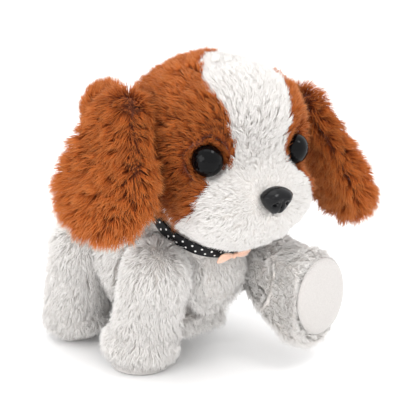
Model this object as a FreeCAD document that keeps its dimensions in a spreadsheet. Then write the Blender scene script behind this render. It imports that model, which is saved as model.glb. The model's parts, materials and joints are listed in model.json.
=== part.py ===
import FreeCAD, Part
import Sketcher
import math
import os

V = FreeCAD.Vector
Rot = FreeCAD.Rotation
Plc = FreeCAD.Placement

# Walking plush puppy.  Millimetres, +Z up, the puppy faces -Y, its left side is +X.
# The figures below are laid out from a point on the floor under the belly; the whole
# model is moved by shift_x / shift_y at the end so that the middle of its outline
# stands on the origin.

doc = FreeCAD.newDocument("WalkingPuppy")
sheet = doc.addObject("Spreadsheet::Sheet", "Dims")

DIMS = [
    # frame
    ("shift_x", -1.785), ("shift_y", 13.47),
    # torso fur cover
    ("torso_rx", 38), ("torso_ry", 52), ("torso_rz", 38), ("torso_y", 4), ("torso_z", 51),
    ("belly_half", 18.0), ("belly_front", -30), ("belly_back", 42), ("belly_low", 12.6),
    ("neck_rad", 26.6), ("neck_y", -26), ("neck_z", 74.5), ("neck_tilt", 33),
    ("collar_width", 7.6), ("collar_thick", 0.9),
    # gearbox
    ("case_half", 15.0), ("case_wall", 1.8), ("case_low", 32.4), ("boss_rad", 3.2),
    # gear train
    ("gear_module", 1.0), ("crank_teeth", 22), ("idler_teeth", 14), ("wheel_teeth", 24),
    ("small_teeth", 8), ("compound_teeth", 20), ("pin_rad", 1.5), ("run_gap", 0.05),
    ("idler_y", 2), ("idler_z", 47), ("crank_f_y", -16), ("crank_r_y", 20), ("crank_z", 47),
    ("crank_shaft_rad", 2.0), ("crank_pin_rad", 1.5),
    # hips and legs
    ("hip_z", 50), ("hip_f_y", -28), ("hip_r_y", 32), ("hip_axle_rad", 1.5),
    ("leg_plate_in", 17.9), ("leg_plate_thick", 2.4), ("leg_mid_x", 30.4),
    ("leg_rad", 17.6), ("leg_dome", 19.0), ("sole_thick", 4.0), ("slot_half", 3.5),
    ("leg_inner_top", 21.6), ("leg_inner_low", 18.5),
    # head
    ("head_yaw", -10), ("neck_pivot_y", -22), ("neck_pivot_z", 70),
    ("skull_rx", 46), ("skull_ry", 42), ("skull_rz", 43), ("skull_y", -40), ("skull_z", 117),
    ("muzzle_rx", 37), ("muzzle_ry", 30), ("muzzle_rz", 28), ("muzzle_y", -62), ("muzzle_z", 92),
    ("brow_rx", 33), ("brow_ry", 25), ("brow_rz", 29), ("brow_y", -58), ("brow_z", 129),
    ("plush_thick", 7.5), ("shell_wall", 1.6),
    ("eye_rad", 8.2), ("eye_x", 25), ("eye_y", -72), ("eye_z", 115),
    ("nose_y", -91.5), ("nose_z", 98),
    # power
    ("cell_rad", 7.25), ("cell_len", 49.5), ("cell_x", 7.7), ("cell_z", 23.9),
    ("tray_half", 16.6), ("tray_low", 14.6), ("tray_top", 32.2), ("tray_front", -26), ("tray_back", 31.4),
    ("screw_rad", 1.1), ("ear_thick", 13),
]
D = {}
for i, (alias, value) in enumerate(DIMS):
    cell = "B%d" % (i + 1)
    sheet.set("A%d" % (i + 1), alias)
    sheet.set(cell, str(value))
    sheet.setAlias(cell, alias)
    D[alias] = float(value)
doc.recompute()


def ex(text):
    """Rewrite bare aliases as references to the sheet."""
    out, word = "", ""
    for ch in text + " ":
        if ch.isalnum() or ch == "_":
            word += ch
        else:
            out += ("Dims." + word) if word in D else word
            out += ch
            word = ""
    return out.strip()


def num(text):
    """The number that an expression of aliases gives."""
    if not isinstance(text, str):
        return float(text)
    total, sign = 0.0, 1.0
    for tok in text.replace("-", " - ").replace("+", " + ").split():
        if tok == "+":
            sign = 1.0
        elif tok == "-":
            sign = -1.0
        else:
            prod = 1.0
            for k, f in enumerate(tok.split("*")):
                prod *= D[f] if f in D else float(f)
            total += sign * prod
            sign = 1.0
    return total


def bind(obj, prop, value):
    if isinstance(value, str):
        obj.setExpression(prop, ex(value))
    else:
        setattr(obj, prop, value)


NODES = []
count = [0]


def tmp(kind):
    count[0] += 1
    return doc.addObject(kind, "w%03d" % count[0])


def place(obj, pos=(0, 0, 0), rot=None):
    obj.Placement = Plc(V(*[num(p) for p in pos]), rot if rot else Rot())
    return obj


AX = {"x": Rot(V(0, 0, 1), V(1, 0, 0)), "-x": Rot(V(0, 0, 1), V(-1, 0, 0)),
      "y": Rot(V(0, 0, 1), V(0, 1, 0)), "-y": Rot(V(0, 0, 1), V(0, -1, 0)),
      "z": Rot(), "-z": Rot(V(0, 0, 1), V(0, 0, -1))}


def box(x0, x1, y0, y1, z0, z1):
    """Box between two corners; each may be an expression of aliases."""
    b = tmp("Part::Box")
    lo = [num(x0), num(y0), num(z0)]
    hi = [num(x1), num(y1), num(z1)]
    for prop, a, c, l, h in (("Length", x0, x1, lo[0], hi[0]), ("Width", y0, y1, lo[1], hi[1]),
                             ("Height", z0, z1, lo[2], hi[2])):
        if isinstance(a, str) or isinstance(c, str):
            sa = a if isinstance(a, str) else repr(a)
            sc = c if isinstance(c, str) else repr(c)
            b.setExpression(prop, "abs((%s) - (%s))" % (ex(sc), ex(sa)))
        else:
            setattr(b, prop, h - l)
    b.Placement = Plc(V(min(lo[0], hi[0]), min(lo[1], hi[1]), min(lo[2], hi[2])), Rot())
    return b


def cyl(rad, height, pos, axis="z", angle=None):
    c = tmp("Part::Cylinder")
    bind(c, "Radius", rad)
    bind(c, "Height", height)
    if angle:
        c.Angle = angle
    rot = AX[axis] if isinstance(axis, str) else Rot(V(0, 0, 1), V(*axis))
    return place(c, pos, rot)


def cone(r1, r2, height, pos, axis="z"):
    c = tmp("Part::Cone")
    bind(c, "Radius1", r1)
    bind(c, "Radius2", r2)
    bind(c, "Height", height)
    rot = AX[axis] if isinstance(axis, str) else Rot(V(0, 0, 1), V(*axis))
    return place(c, pos, rot)


def ball(rx, ry, rz, pos, rot=None):
    e = tmp("Part::Ellipsoid")
    bind(e, "Radius1", rz)
    bind(e, "Radius2", rx)
    bind(e, "Radius3", ry)
    e.Angle1, e.Angle2, e.Angle3 = -90, 90, 360
    return place(e, pos, rot)


def sphere(r, pos):
    s = tmp("Part::Sphere")
    bind(s, "Radius", r)
    return place(s, pos)


def fuse(*objs):
    if len(objs) == 1:
        return objs[0]
    f = tmp("Part::MultiFuse")
    f.Shapes = list(objs)
    return f


def cut(a, *tools):
    for t in tools:
        c = tmp("Part::Cut")
        c.Base, c.Tool = a, t
        a = c
    return a


def common(a, b):
    c = tmp("Part::Common")
    c.Base, c.Tool = a, b
    return c


def fillet(a, rad, pick):
    doc.recompute()
    f = tmp("Part::Fillet")
    f.Base = a
    f.Edges = [(i + 1, rad, rad) for i, e in enumerate(a.Shape.Edges) if pick(e)]
    return f


def turned(obj, centre, axis, deg):
    """Turn an object about a line through centre."""
    r = Rot(V(*axis), deg)
    c = V(*[num(p) for p in centre])
    obj.Placement = Plc(c - r.multVec(c), r).multiply(obj.Placement)
    return obj


def node(obj, label, move=None):
    if move is not None:
        obj.Placement = move.multiply(obj.Placement)
    obj.Label = label
    NODES.append(obj)
    return obj


# ---------------------------------------------------------------- PartDesign helpers
def new_body(label):
    b = doc.addObject("PartDesign::Body", label)
    b.Label = label
    NODES.append(b)
    return b


def origin_plane(b, role):
    return [o for o in b.Origin.OriginFeatures if o.Role == role][0]


def sketch(b, name, role, offset=0.0):
    s = b.newObject("Sketcher::SketchObject", b.Name + "_" + name)
    s.AttachmentSupport = [(origin_plane(b, role), "")]
    s.MapMode = "FlatFace"
    if offset:
        s.AttachmentOffset = Plc(V(0, 0, offset), Rot())
    return s


def poly(s, pts):
    n = len(pts)
    first = s.GeometryCount
    s.addGeometry([Part.LineSegment(V(pts[i][0], pts[i][1], 0), V(pts[(i + 1) % n][0], pts[(i + 1) % n][1], 0))
                   for i in range(n)], False)
    s.addConstraint([Sketcher.Constraint("Coincident", first + i, 2, first + (i + 1) % n, 1) for i in range(n)])


def circle(s, cx, cy, rad):
    g = s.addGeometry(Part.Circle(V(cx, cy, 0), V(0, 0, 1), num(rad)), False)
    k = s.addConstraint(Sketcher.Constraint("Radius", g, num(rad)))
    if isinstance(rad, str):
        s.setExpression("Constraints[%d]" % k, ex(rad))
    s.addConstraint(Sketcher.Constraint("DistanceX", -1, 1, g, 3, cx))
    s.addConstraint(Sketcher.Constraint("DistanceY", -1, 1, g, 3, cy))


def pad(b, s, length, reverse=False, name="pad"):
    p = b.newObject("PartDesign::Pad", b.Name + "_" + name)
    p.Profile = s
    bind(p, "Length", length)
    p.Reversed = reverse
    b.Tip = p
    return p


def pocket(b, s, length, reverse=False, name="pocket"):
    before = b.Shape.Volume
    p = b.newObject("PartDesign::Pocket", b.Name + "_" + name)
    p.Profile = s
    bind(p, "Length", length)
    p.Reversed = reverse
    b.Tip = p
    doc.recompute()
    if b.Shape.Volume > before - 1e-3:
        raise RuntimeError("pocket %s removed nothing" % p.Name)
    return p


def revolve(b, s, name="turn"):
    """Turn a sketch of the XZ plane about the vertical axis."""
    r = b.newObject("PartDesign::Revolution", b.Name + "_" + name)
    r.Profile = s
    r.ReferenceAxis = (s, ["V_Axis"])
    r.Angle = 360
    b.Tip = r
    return r


def gear_points(teeth, module, phase, cx=0.0, cy=0.0):
    rp = teeth * module / 2.0
    ra, rf = rp + 0.92 * module, rp - 1.2 * module
    pts = []
    for k in range(teeth):
        mid = phase + 360.0 * k / teeth
        for r, w in ((rf, -0.60), (rp, -0.40), (ra, -0.17), (ra, 0.17), (rp, 0.40), (rf, 0.60)):
            a = math.radians(mid + w * 180.0 / teeth)
            pts.append((cx + r * math.cos(a), cy + r * math.sin(a)))
    return pts


def mesh_phase(n1, a1, n2, direction):
    """Tooth phase of gear 2, seen from gear 1 in the given direction (degrees)."""
    return direction + 180.0 + ((direction - a1) * n1 - 180.0) / n2


MOD = D["gear_module"]

# ================================================================= gearbox case
CASE = [(-36, 32.4), (40, 32.4), (40, 61), (32, 77.6), (11, 77.6), (0, 74), (-9, 64), (-36, 64)]
INNER = [(-34.2, 34.0), (38.2, 34.0), (38.2, 60.6), (30.9, 75.8), (11.3, 75.8), (1.0, 72.4), (-8.2, 62.2), (-34.2, 62.2)]
BOSSES = [(-31.7, 36.5), (35.7, 36.5), (-31.7, 59.7), (35.5, 58.9)]
IDY, IDZ = D["idler_y"], D["idler_z"]
CFY, CRY, CZ = D["crank_f_y"], D["crank_r_y"], D["crank_z"]
HFY, HRY, HZ = D["hip_f_y"], D["hip_r_y"], D["hip_z"]
g1_dir = 65.0
G1 = (IDY + 16.0 * math.cos(math.radians(g1_dir)), IDZ + 16.0 * math.sin(math.radians(g1_dir)))
m_dir = 35.0
MOT = (G1[0] + 14.0 * math.cos(math.radians(m_dir)), G1[1] + 14.0 * math.sin(math.radians(m_dir)))

for side, sgn in (("left", 1), ("right", -1)):
    b = new_body("gearbox_" + side)
    s = sketch(b, "outline", "YZ_Plane")
    poly(s, CASE)
    pad(b, s, "case_half", reverse=(sgn < 0), name="shell")
    doc.recompute()
    s = sketch(b, "inside", "YZ_Plane")
    poly(s, INNER)
    pocket(b, s, "case_half - case_wall", reverse=(sgn > 0), name="hollow")
    s = sketch(b, "bosses", "YZ_Plane")
    for y, z in BOSSES:
        circle(s, y, z, "boss_rad")
    pad(b, s, "case_half - 1", reverse=(sgn < 0), name="posts")
    doc.recompute()
    s = sketch(b, "shaft_holes", "YZ_Plane")
    circle(s, CFY, CZ, "crank_shaft_rad + run_gap")
    circle(s, CRY, CZ, "crank_shaft_rad + run_gap")
    circle(s, HFY, HZ, "hip_axle_rad")
    circle(s, HRY, HZ, "hip_axle_rad")
    for y, z in BOSSES:
        circle(s, y, z, "screw_rad")
    pocket(b, s, 40, reverse=(sgn > 0), name="drill")
    # half of the neck opening in the roof and of the tail opening in the back wall
    s = sketch(b, "openings", "YZ_Plane")
    poly(s, [(-32, 61), (-11, 61), (-11, 66), (-32, 66)])
    poly(s, [(37, 48), (42, 48), (42, 60), (37, 60)])
    pocket(b, s, 6.4, reverse=(sgn > 0), name="slots")
    # bracket ears for the neck pin
    s = sketch(b, "ear", "YZ_Plane", offset=sgn * 6.6)
    poly(s, [(-28, 63), (-16, 63), (-17.5, 74), (-26.5, 74)])
    pad(b, s, 2.4, reverse=(sgn < 0), name="neck_ear")
    doc.recompute()
    s = sketch(b, "ear_hole", "YZ_Plane")
    circle(s, D["neck_pivot_y"], D["neck_pivot_z"], "pin_rad")
    pocket(b, s, 12, reverse=(sgn > 0), name="ear_bore")

# case screws: pan heads on the left, shanks through both halves
screws = []
for y, z in BOSSES:
    screws.append(fuse(cyl("screw_rad", 27.0, (-11.9, y, z), "x"), cyl(2.3, 1.3, (15.0, y, z), "x")))
for i, o in enumerate(screws):
    doc.recompute()
f = tmp("Part::Compound")
f.Links = screws
node(f, "case_screws")

# ================================================================= gear train
xA0, xA1 = 8.8, 12.4      # plane of the idler and the two crank gears
xB0, xB1 = -8.4, -5.6     # plane of the big wheel
xC0, xC1 = -12.6, -9.8    # plane of the motor pinion

ph_idler = 0.0
ph_f = mesh_phase(14, ph_idler, 22, 180.0)
ph_r = mesh_phase(14, ph_idler, 22, 0.0)
ph_wheel = 0.0
ph_s = mesh_phase(24, ph_wheel, 8, g1_dir)
ph_g1 = 0.0
ph_m = mesh_phase(20, ph_g1, 8, m_dir)


def gear_body(label, cy, cz, stages, bore, hub=None):
    """Stepped gear: stages are (teeth, phase, x0, x1); hub is (radius, x0, x1)."""
    b = new_body(label)
    k = 0
    if hub:
        s = sketch(b, "hub", "YZ_Plane", offset=hub[1])
        circle(s, cy, cz, hub[0])
        pad(b, s, hub[2] - hub[1], name="hub_pad")
        doc.recompute()
    for teeth, phase, x0, x1 in stages:
        k += 1
        s = sketch(b, "teeth%d" % k, "YZ_Plane", offset=x0)
        poly(s, gear_points(teeth, MOD, phase, cy, cz))
        pad(b, s, x1 - x0, name="wheel%d" % k)
        doc.recompute()
    xs = [q for st in stages for q in st[2:]] + (list(hub[1:]) if hub else [])
    s = sketch(b, "bore", "YZ_Plane", offset=min(xs) - 1)
    circle(s, cy, cz, bore)
    pocket(b, s, max(xs) - min(xs) + 2, reverse=True, name="bore_cut")
    return b


gear_body("centre_gear", IDY, IDZ, [(24, ph_wheel, xB0, xB1), (14, ph_idler, xA0, xA1)], "pin_rad + run_gap",
          hub=(3.0, xB0, xA1))
gear_body("compound_gear", G1[0], G1[1], [(20, ph_g1, xC0, xC1), (8, ph_s, xC1, xB1 + 0.4)], "pin_rad + run_gap",
          hub=(2.3, xC0, xB1 + 1.2))
gear_body("motor_pinion", MOT[0], MOT[1], [(8, ph_m, xC0, xC1)], 1.0)
gear_body("front_crank_gear", CFY, CZ, [(22, ph_f, xA0, xA1)], "crank_shaft_rad", hub=(4.0, xA0 - 2.0, xA1))
gear_body("rear_crank_gear", CRY, CZ, [(22, ph_r, xA0, xA1)], "crank_shaft_rad", hub=(4.0, xA0 - 2.0, xA1))

# pins of the centre gear and of the compound gear, held in both walls
p1 = cyl("pin_rad", 26.4, (-13.2, IDY, IDZ), "x")
p2 = cyl("pin_rad", 26.4, (-13.2, G1[0], G1[1]), "x")
doc.recompute()
f = tmp("Part::Compound")
f.Links = [p1, p2]
node(f, "gear_pins")

# motor: flat-sided can with a front boss and a shaft
b = new_body("motor")
s = sketch(b, "can", "YZ_Plane", offset=-7.6)
my, mz = MOT
poly(s, [(my - 8, mz - 3.2), (my - 5, mz - 6.4), (my + 5, mz - 6.4), (my + 8, mz - 3.2), (my + 8, mz + 3.2),
         (my + 5, mz + 6.0), (my - 5, mz + 6.0), (my - 8, mz + 3.2)])
pad(b, s, 20.0, name="can_pad")
s = sketch(b, "boss", "YZ_Plane", offset=-8.8)
circle(s, my, mz, 3.0)
pad(b, s, 1.4, name="boss_pad")
s = sketch(b, "cap", "YZ_Plane", offset=12.3)
circle(s, my, mz, 3.2)
pad(b, s, 0.8, name="cap_pad")
s = sketch(b, "shaft", "YZ_Plane", offset=-12.9)
circle(s, my, mz, 1.0)
pad(b, s, 5.0, name="shaft_pad")
doc.recompute()

# ================================================================= cranks
LCF = math.hypot(CFY - HFY, CZ - HZ)            # hip to crank centre
dirF = math.degrees(math.atan2(CZ - HZ, CFY - HFY))
dirR = math.degrees(math.atan2(CZ - HZ, CRY - HRY))
AMP_FL, AMP_FR, AMP_R = 45.0, 15.0, 10.0
rFL = LCF * math.sin(math.radians(AMP_FL))
rFR = LCF * math.sin(math.radians(AMP_FR))
rR = LCF * math.sin(math.radians(AMP_R))
angFL = dirF - 135.0
angFR = angFL + 180.0
angRR = dirR + 45.0
angRL = angRR + 180.0


def crank_arm(sgn, cy, cz, rad, ang):
    """Round-ended crank arm outside the case wall, with its pin."""
    a = math.radians(ang)
    py, pz = cy + rad * math.cos(a), cz + rad * math.sin(a)
    ax = "x" if sgn > 0 else "-x"
    x0 = 15.4 * sgn
    disc = cyl(3.6, 1.7, (x0, cy, cz), ax)
    end = cyl(2.8, 1.7, (x0, py, pz), ax)
    bar = box(min(x0, x0 + 1.7 * sgn), max(x0, x0 + 1.7 * sgn), cy, cy + max(rad, 0.5), cz - 2.8, cz + 2.8)
    turned(bar, (0, cy, cz), (1, 0, 0), ang)
    pin = cyl("crank_pin_rad", 20.8 - 17.1 + 0.2, (16.9 * sgn, py, pz), ax)
    return [disc, end, bar, pin]


def crank_shaft(label, cy, rl, al, rr, ar, extra):
    parts = [cyl("crank_shaft_rad", 34.0, (-17.0, cy, CZ), "x")]
    parts += crank_arm(1, cy, CZ, rl, al)
    parts += crank_arm(-1, cy, CZ, rr, ar)
    parts += extra
    return node(fuse(*parts), label)


# front: eccentric that nods the head
ecc = 1.2
ang_ecc = math.radians(-90.0)
cam = cyl(5.0, 3.4, (-1.7, CFY + ecc * math.cos(ang_ecc), CZ + ecc * math.sin(ang_ecc)), "x")
crank_shaft("front_crank_shaft", CFY, rFL, angFL, rFR, angFR, [cam])
# rear: skewed disc that wags the tail
swash = cyl(8.0, 1.6, (0, 0, -0.8), "z")
swash.Placement = Plc(V(0, CRY, CZ), Rot(V(0, 0, 1), V(math.cos(math.radians(11)), math.sin(math.radians(11)) * math.cos(math.radians(-45)), math.sin(math.radians(11)) * math.sin(math.radians(-45))))).multiply(Plc(V(0, 0, -0.8), Rot()))
crank_shaft("rear_crank_shaft", CRY, rR, angRL, rR, angRR, [cyl(4.2, 4.0, (-2.0, CRY, CZ), "x"), swash])

# hip axles: a stub each side, pressed into the case wall, its head inside the leg
for nm, hy in (("front_hip_axle", HFY), ("rear_hip_axle", HRY)):
    stubs = [fuse(cyl("hip_axle_rad", 15.5, (12.8, hy, HZ), "x"), cyl(2.6, 1.0, (27.9, hy, HZ), "x")),
             fuse(cyl("hip_axle_rad", 15.5, (-12.8, hy, HZ), "-x"), cyl(2.6, 1.0, (-27.9, hy, HZ), "-x"))]
    doc.recompute()
    f = tmp("Part::Compound")
    f.Links = stubs
    node(f, nm)

neck_rot = Rot(V(0, 0, 1), V(0, -math.sin(math.radians(D["neck_tilt"])), math.cos(math.radians(D["neck_tilt"]))))
nv = neck_rot.multVec(V(0, 0, 1))
nc = V(0, D["neck_y"], D["neck_z"])


def neck_cyl(rad, lo, hi):
    c = tmp("Part::Cylinder")
    bind(c, "Radius", rad)
    c.Height = hi - lo
    c.Placement = Plc(nc + nv * lo, neck_rot)
    return c


# ================================================================= legs
# Each leg is made as it stands with its sole on the floor, about its hip at the origin.
def leg_parts(name, sgn, hy, beta, slot_near, slot_far, sole_dy, front, turn):
    """beta: direction of the slotted arm in the standing leg; turn: rest angle about +X."""
    ax = "x" if sgn > 0 else "-x"
    mv = Plc(V(0, hy, HZ), Rot(V(1, 0, 0), turn))
    x0, th = D["leg_plate_in"], D["leg_plate_thick"]
    foot = D["hip_z"] - D["sole_thick"]
    leg_len = math.hypot(sole_dy, foot)
    tilt = math.degrees(math.atan2(sole_dy, foot))

    # plastic frame: hub plate with slotted arm, boss, and the bar that reaches the sole
    hub = cyl(6.2, "leg_plate_thick", (x0 * sgn, 0, 0), ax)
    mid = cyl(D["slot_half"] + 1.9, "leg_plate_thick", (x0 * sgn, slot_far - D["slot_half"], 0), ax)
    turned(mid, (0, 0, 0), (1, 0, 0), beta)
    a0, a1 = sorted((x0 * sgn, (x0 + th) * sgn))
    arm = box(a0, a1, 0, slot_far - D["slot_half"], -(D["slot_half"] + 1.9), D["slot_half"] + 1.9)
    turned(arm, (0, 0, 0), (1, 0, 0), beta)
    boss = cyl(4.8, 27.6 - x0, (x0 * sgn, 0, 0), ax)
    b0, b1 = sorted((22.8 * sgn, 27.6 * sgn))
    bar = box(b0, b1, -4.6, 4.6, -(leg_len - 1.2), 0)
    turned(bar, (0, 0, 0), (1, 0, 0), tilt)
    flat0, flat1 = sorted((21.5 * sgn, 39.0 * sgn))
    plate = box(flat0, flat1, sole_dy - 9, sole_dy + 9, -foot, -(foot - 1.6))
    frame = fuse(hub, mid, arm, boss, bar, plate)
    floor_cut = box(-60, 60, -80, 80, -90, -foot)
    bore = cyl("hip_axle_rad + run_gap", 40, (10 * sgn, 0, 0), ax)
    c0 = cyl("slot_half", 6, ((x0 - 2) * sgn, slot_near + D["slot_half"], 0), ax)
    c1 = cyl("slot_half", 6, ((x0 - 2) * sgn, slot_far - D["slot_half"], 0), ax)
    turned(c0, (0, 0, 0), (1, 0, 0), beta)
    turned(c1, (0, 0, 0), (1, 0, 0), beta)
    s0, s1 = sorted(((x0 - 2) * sgn, (x0 + 4) * sgn))
    cs = box(s0, s1, slot_near + D["slot_half"], slot_far - D["slot_half"], -D["slot_half"], D["slot_half"])
    turned(cs, (0, 0, 0), (1, 0, 0), beta)
    frame = cut(frame, floor_cut, bore, fuse(c0, c1, cs))
    if not front:
        frame = common(frame, cyl(foot - 0.02, 120, (-60, 0, 0), "x"))
    if name == "front_left":
        for g in (0.0, -6.0, -12.0, -18.0):
            ring = cut(neck_cyl(28.4, -2.0, 5.0), neck_cyl(26.3, -3.0, 6.0))
            ring.Placement = Plc(V(0, -hy, -D["hip_z"]), Rot()).multiply(ring.Placement)
            turned(ring, (0, 0, 0), (1, 0, 0), g)
            frame = cut(frame, ring)
    node(frame, name + "_leg_frame", mv)

    # fur sleeve
    lx = D["leg_mid_x"] * sgn
    dome = ball(17.0, "leg_dome", "leg_dome", (lx, 0, 0))
    limb = cyl("leg_rad", leg_len + 6, (lx, 0, 0), (0, sole_dy, -foot))
    paw = ball(19.4 if front else 17.4, 20.6 if front else 18.6, 14.0 if front else 13.0, (lx + (1.5 * sgn if front else 0.0), sole_dy - 1.5, -(foot - 8.5)))
    plush = fuse(dome, limb, paw)
    k0, k1 = sorted((10 * sgn, D["leg_inner_top"] * sgn))
    upper = cyl(26.6, D["leg_inner_top"] - 10, (10 * sgn, 0, 0), ax)
    k2, k3 = sorted((5 * sgn, D["leg_inner_low"] * sgn))
    inner = box(k2, k3, -60, 60, -70, 40)
    under = box(-70, 70, -80, 80, -90, -foot) if front else None
    hole = cyl(4.85, 10, (20 * sgn, 0, 0), ax)
    h0, h1 = sorted((22.75 * sgn, 28.95 * sgn))
    slot = box(h0, h1, -4.65, 4.65, -(leg_len + 3), 4.9)
    turned(slot, (0, 0, 0), (1, 0, 0), tilt)
    f0, f1 = sorted((21.45 * sgn, 39.05 * sgn))
    tools = [upper, inner, hole, slot, box(f0, f1, sole_dy - 9.05, sole_dy + 9.05, -foot - 3, -(foot - 1.65))]
    if front:
        plush = cut(plush, under)
    else:
        plush = common(plush, cyl(foot, 120, (-60, 0, 0), "x"))
    plush = cut(plush, *tools)
    node(plush, name + "_leg_plush", mv)

    # sole pad
    if front:
        pad_s = cyl(17.0, "sole_thick", (lx + 1.5 * sgn, sole_dy - 1.0, -D["hip_z"]), "z")
        q0, q1 = sorted((18.6 * sgn, 52.0 * sgn))
        pad_s = common(pad_s, box(q0, q1, -60, 60, -60, 0))
        pad_s = fillet(pad_s, 1.2, lambda e: abs(e.BoundBox.ZMax + D["hip_z"]) < 0.01)
    else:
        ring = cut(cyl("hip_z", 25.0, (18.6 if sgn > 0 else -43.6, 0, 0), "x"), cyl(foot, 40.0, (10 if sgn > 0 else -50, 0, 0), "x"))
        pad_s = common(ring, cyl(14.6, 14, (lx, sole_dy, -D["hip_z"] - 2), "z"))
    node(pad_s, name + "_sole_pad", mv)


near = LCF * math.cos(math.radians(45)) - D["crank_pin_rad"] - 0.9
far = math.hypot(LCF + rFL, 0) + D["crank_pin_rad"] + 0.7
# the standing leg is turned 15 degrees from the leg's own straight-down position
leg_parts("front_left", 1, HFY, dirF + 45.0 + 90.0 - 0.0, near, far, 12.0, True, -90.0)
leg_parts("front_right", -1, HFY, dirF + 15.0, LCF - rFR - 2.4, LCF + rFR + 2.4, 12.0, True, 0.0)
leg_parts("rear_left", 1, HRY, dirR, LCF - rR - 2.4, LCF + rR + 2.4, 0.0, False, -10.0)
leg_parts("rear_right", -1, HRY, dirR, LCF - rR - 2.4, LCF + rR + 2.4, 0.0, False, 10.0)

# ================================================================= power
tray = fuse(box("-1*tray_half", "tray_half", "tray_front", "tray_back", "tray_low", "tray_top"))
pockets = [box(-15.0, 15.0, -24.6, 30.0, 10, "cell_z"),
           cyl("cell_rad + 0.15", 54.6, ("cell_x", -24.6, "cell_z"), "y"),
           cyl("cell_rad + 0.15", 54.6, ("-1*cell_x", -24.6, "cell_z"), "y")]
tray = cut(tray, fuse(*pockets), cyl(1.0, 8, (0, 30.7, 10), "z"))
node(tray, "battery_tray")
node(cut(box(-14.9, 14.9, -24.5, 29.9, "tray_low", "tray_low + 1.5"), cyl(1.2, 5, (0, 27.5, 12), "z"), cyl(2.25, 3.1, (0, 27.5, 12), "z")), "battery_door")
node(fuse(cyl(1.15, 4.4, (0, 27.5, 14.9), "z"), cyl(2.1, 0.5, (0, 27.5, 14.45), "z")), "door_screw")
for nm, sg in (("aa_cell_left", 1), ("aa_cell_right", -1)):
    y0 = -22.9
    bodyc = cyl("cell_rad", "cell_len", (D["cell_x"] * sg, y0 + (0 if sg > 0 else 1.0), "cell_z"), "y")
    nub = cyl(2.75, 1.0, (D["cell_x"] * sg, y0 + (D["cell_len"] if sg > 0 else 0.0), "cell_z"), "y")
    node(fuse(bodyc, nub), nm)
plates = []
for x in (-7.7, 7.7):
    plates.append(fuse(cyl(5.0, 0.5, (x, -24.6, "cell_z"), "y"), cone(2.6, 1.6, 1.0, (x, -24.1, "cell_z"), "y")))
plates.append(fuse(box(-12.0, 12.0, 29.5, 30.0, 18.5, "cell_z"), cyl(5.0, 0.5, (-7.7, 29.5, "cell_z"), "y"), cyl(5.0, 0.5, (7.7, 29.5, "cell_z"), "y"), cone(2.6, 1.6, 1.7, (-7.7, 29.5, "cell_z"), "-y"),
                   cone(2.6, 1.6, 1.7, (7.7, 29.5, "cell_z"), "-y")))
doc.recompute()
f = tmp("Part::Compound")
f.Links = plates
node(f, "battery_contacts")

# circuit board with its chip blob and two capacitors
b = new_body("circuit_board")
s = sketch(b, "board", "YZ_Plane", offset=-11.6)
poly(s, [(-33.5, 42), (-21, 42), (-21, 35.0), (-11.5, 35.0), (-11.5, 41), (-20, 43.5), (-20, 50.5), (-12, 53), (-12, 61.5), (-24, 61.5), (-24, 54.5), (-33.5, 54.5)])
pad(b, s, 1.2, name="board_pad")
doc.recompute()
s = sketch(b, "chip", "YZ_Plane", offset=-10.4)
circle(s, -28.0, 47.0, 3.4)
pad(b, s, 1.2, name="chip_pad")
s = sketch(b, "caps", "YZ_Plane", offset=-10.4)
circle(s, -17.0, 58.0, 2.0)
circle(s, -14.5, 37.5, 1.6)
pad(b, s, 2.6, name="caps_pad")
doc.recompute()

# speaker in the chest, facing forwards
b = new_body("speaker_frame")
s = sketch(b, "ring", "XZ_Plane")
poly(s, [(14.0, 0), (14.0, 1.4), (9.0, 4.4), (7.0, 4.4), (7.0, 5.6), (0, 5.6), (0, 3.4), (6.4, 3.4), (12.0, 1.0), (12.0, 0)])
revolve(b, s)
doc.recompute()
b.Placement = Plc(V(0, -42.0, 48.0), Rot(V(0, 0, 1), V(0, 1, 0)))
b = new_body("speaker_cone")
s = sketch(b, "cone", "XZ_Plane")
poly(s, [(11.9, 0.3), (11.9, 0.8), (9.6, 0.5), (4.6, 2.6), (0, 1.4), (0, 1.0), (4.6, 2.2), (9.6, 0.1)])
revolve(b, s)
doc.recompute()
b.Placement = Plc(V(0, -42.0, 48.0), Rot(V(0, 0, 1), V(0, 1, 0)))

# slide switch behind the battery tray
node(cut(box(-6.0, 6.0, 32.2, 39.0, 16.6, 24.0), box(-3.7, 3.7, 34.0, 37.2, 16, 18.4)), "switch_body")
node(fuse(box(-3.4, -0.2, 34.2, 37.0, 12.9, 18.2), ), "switch_knob")

# ================================================================= torso fur cover
def torso_outer(grow=0.0):
    g = repr(grow)
    body = ball("torso_rx + " + g, "torso_ry + " + g, "torso_rz + " + g, (0, "torso_y", "torso_z"))
    neck = neck_cyl("neck_rad + " + g, -26.0, 4.6 + grow)
    return fuse(body, neck)


belly = box("-1*belly_half", "belly_half", "belly_front", "belly_back", "belly_low", 44.0)
belly = fillet(belly, 4.0, lambda e: e.BoundBox.ZMax < 13.0 or (e.BoundBox.XLength < 0.01 and e.BoundBox.YLength < 0.01))
torso = fuse(torso_outer(), belly)


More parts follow.
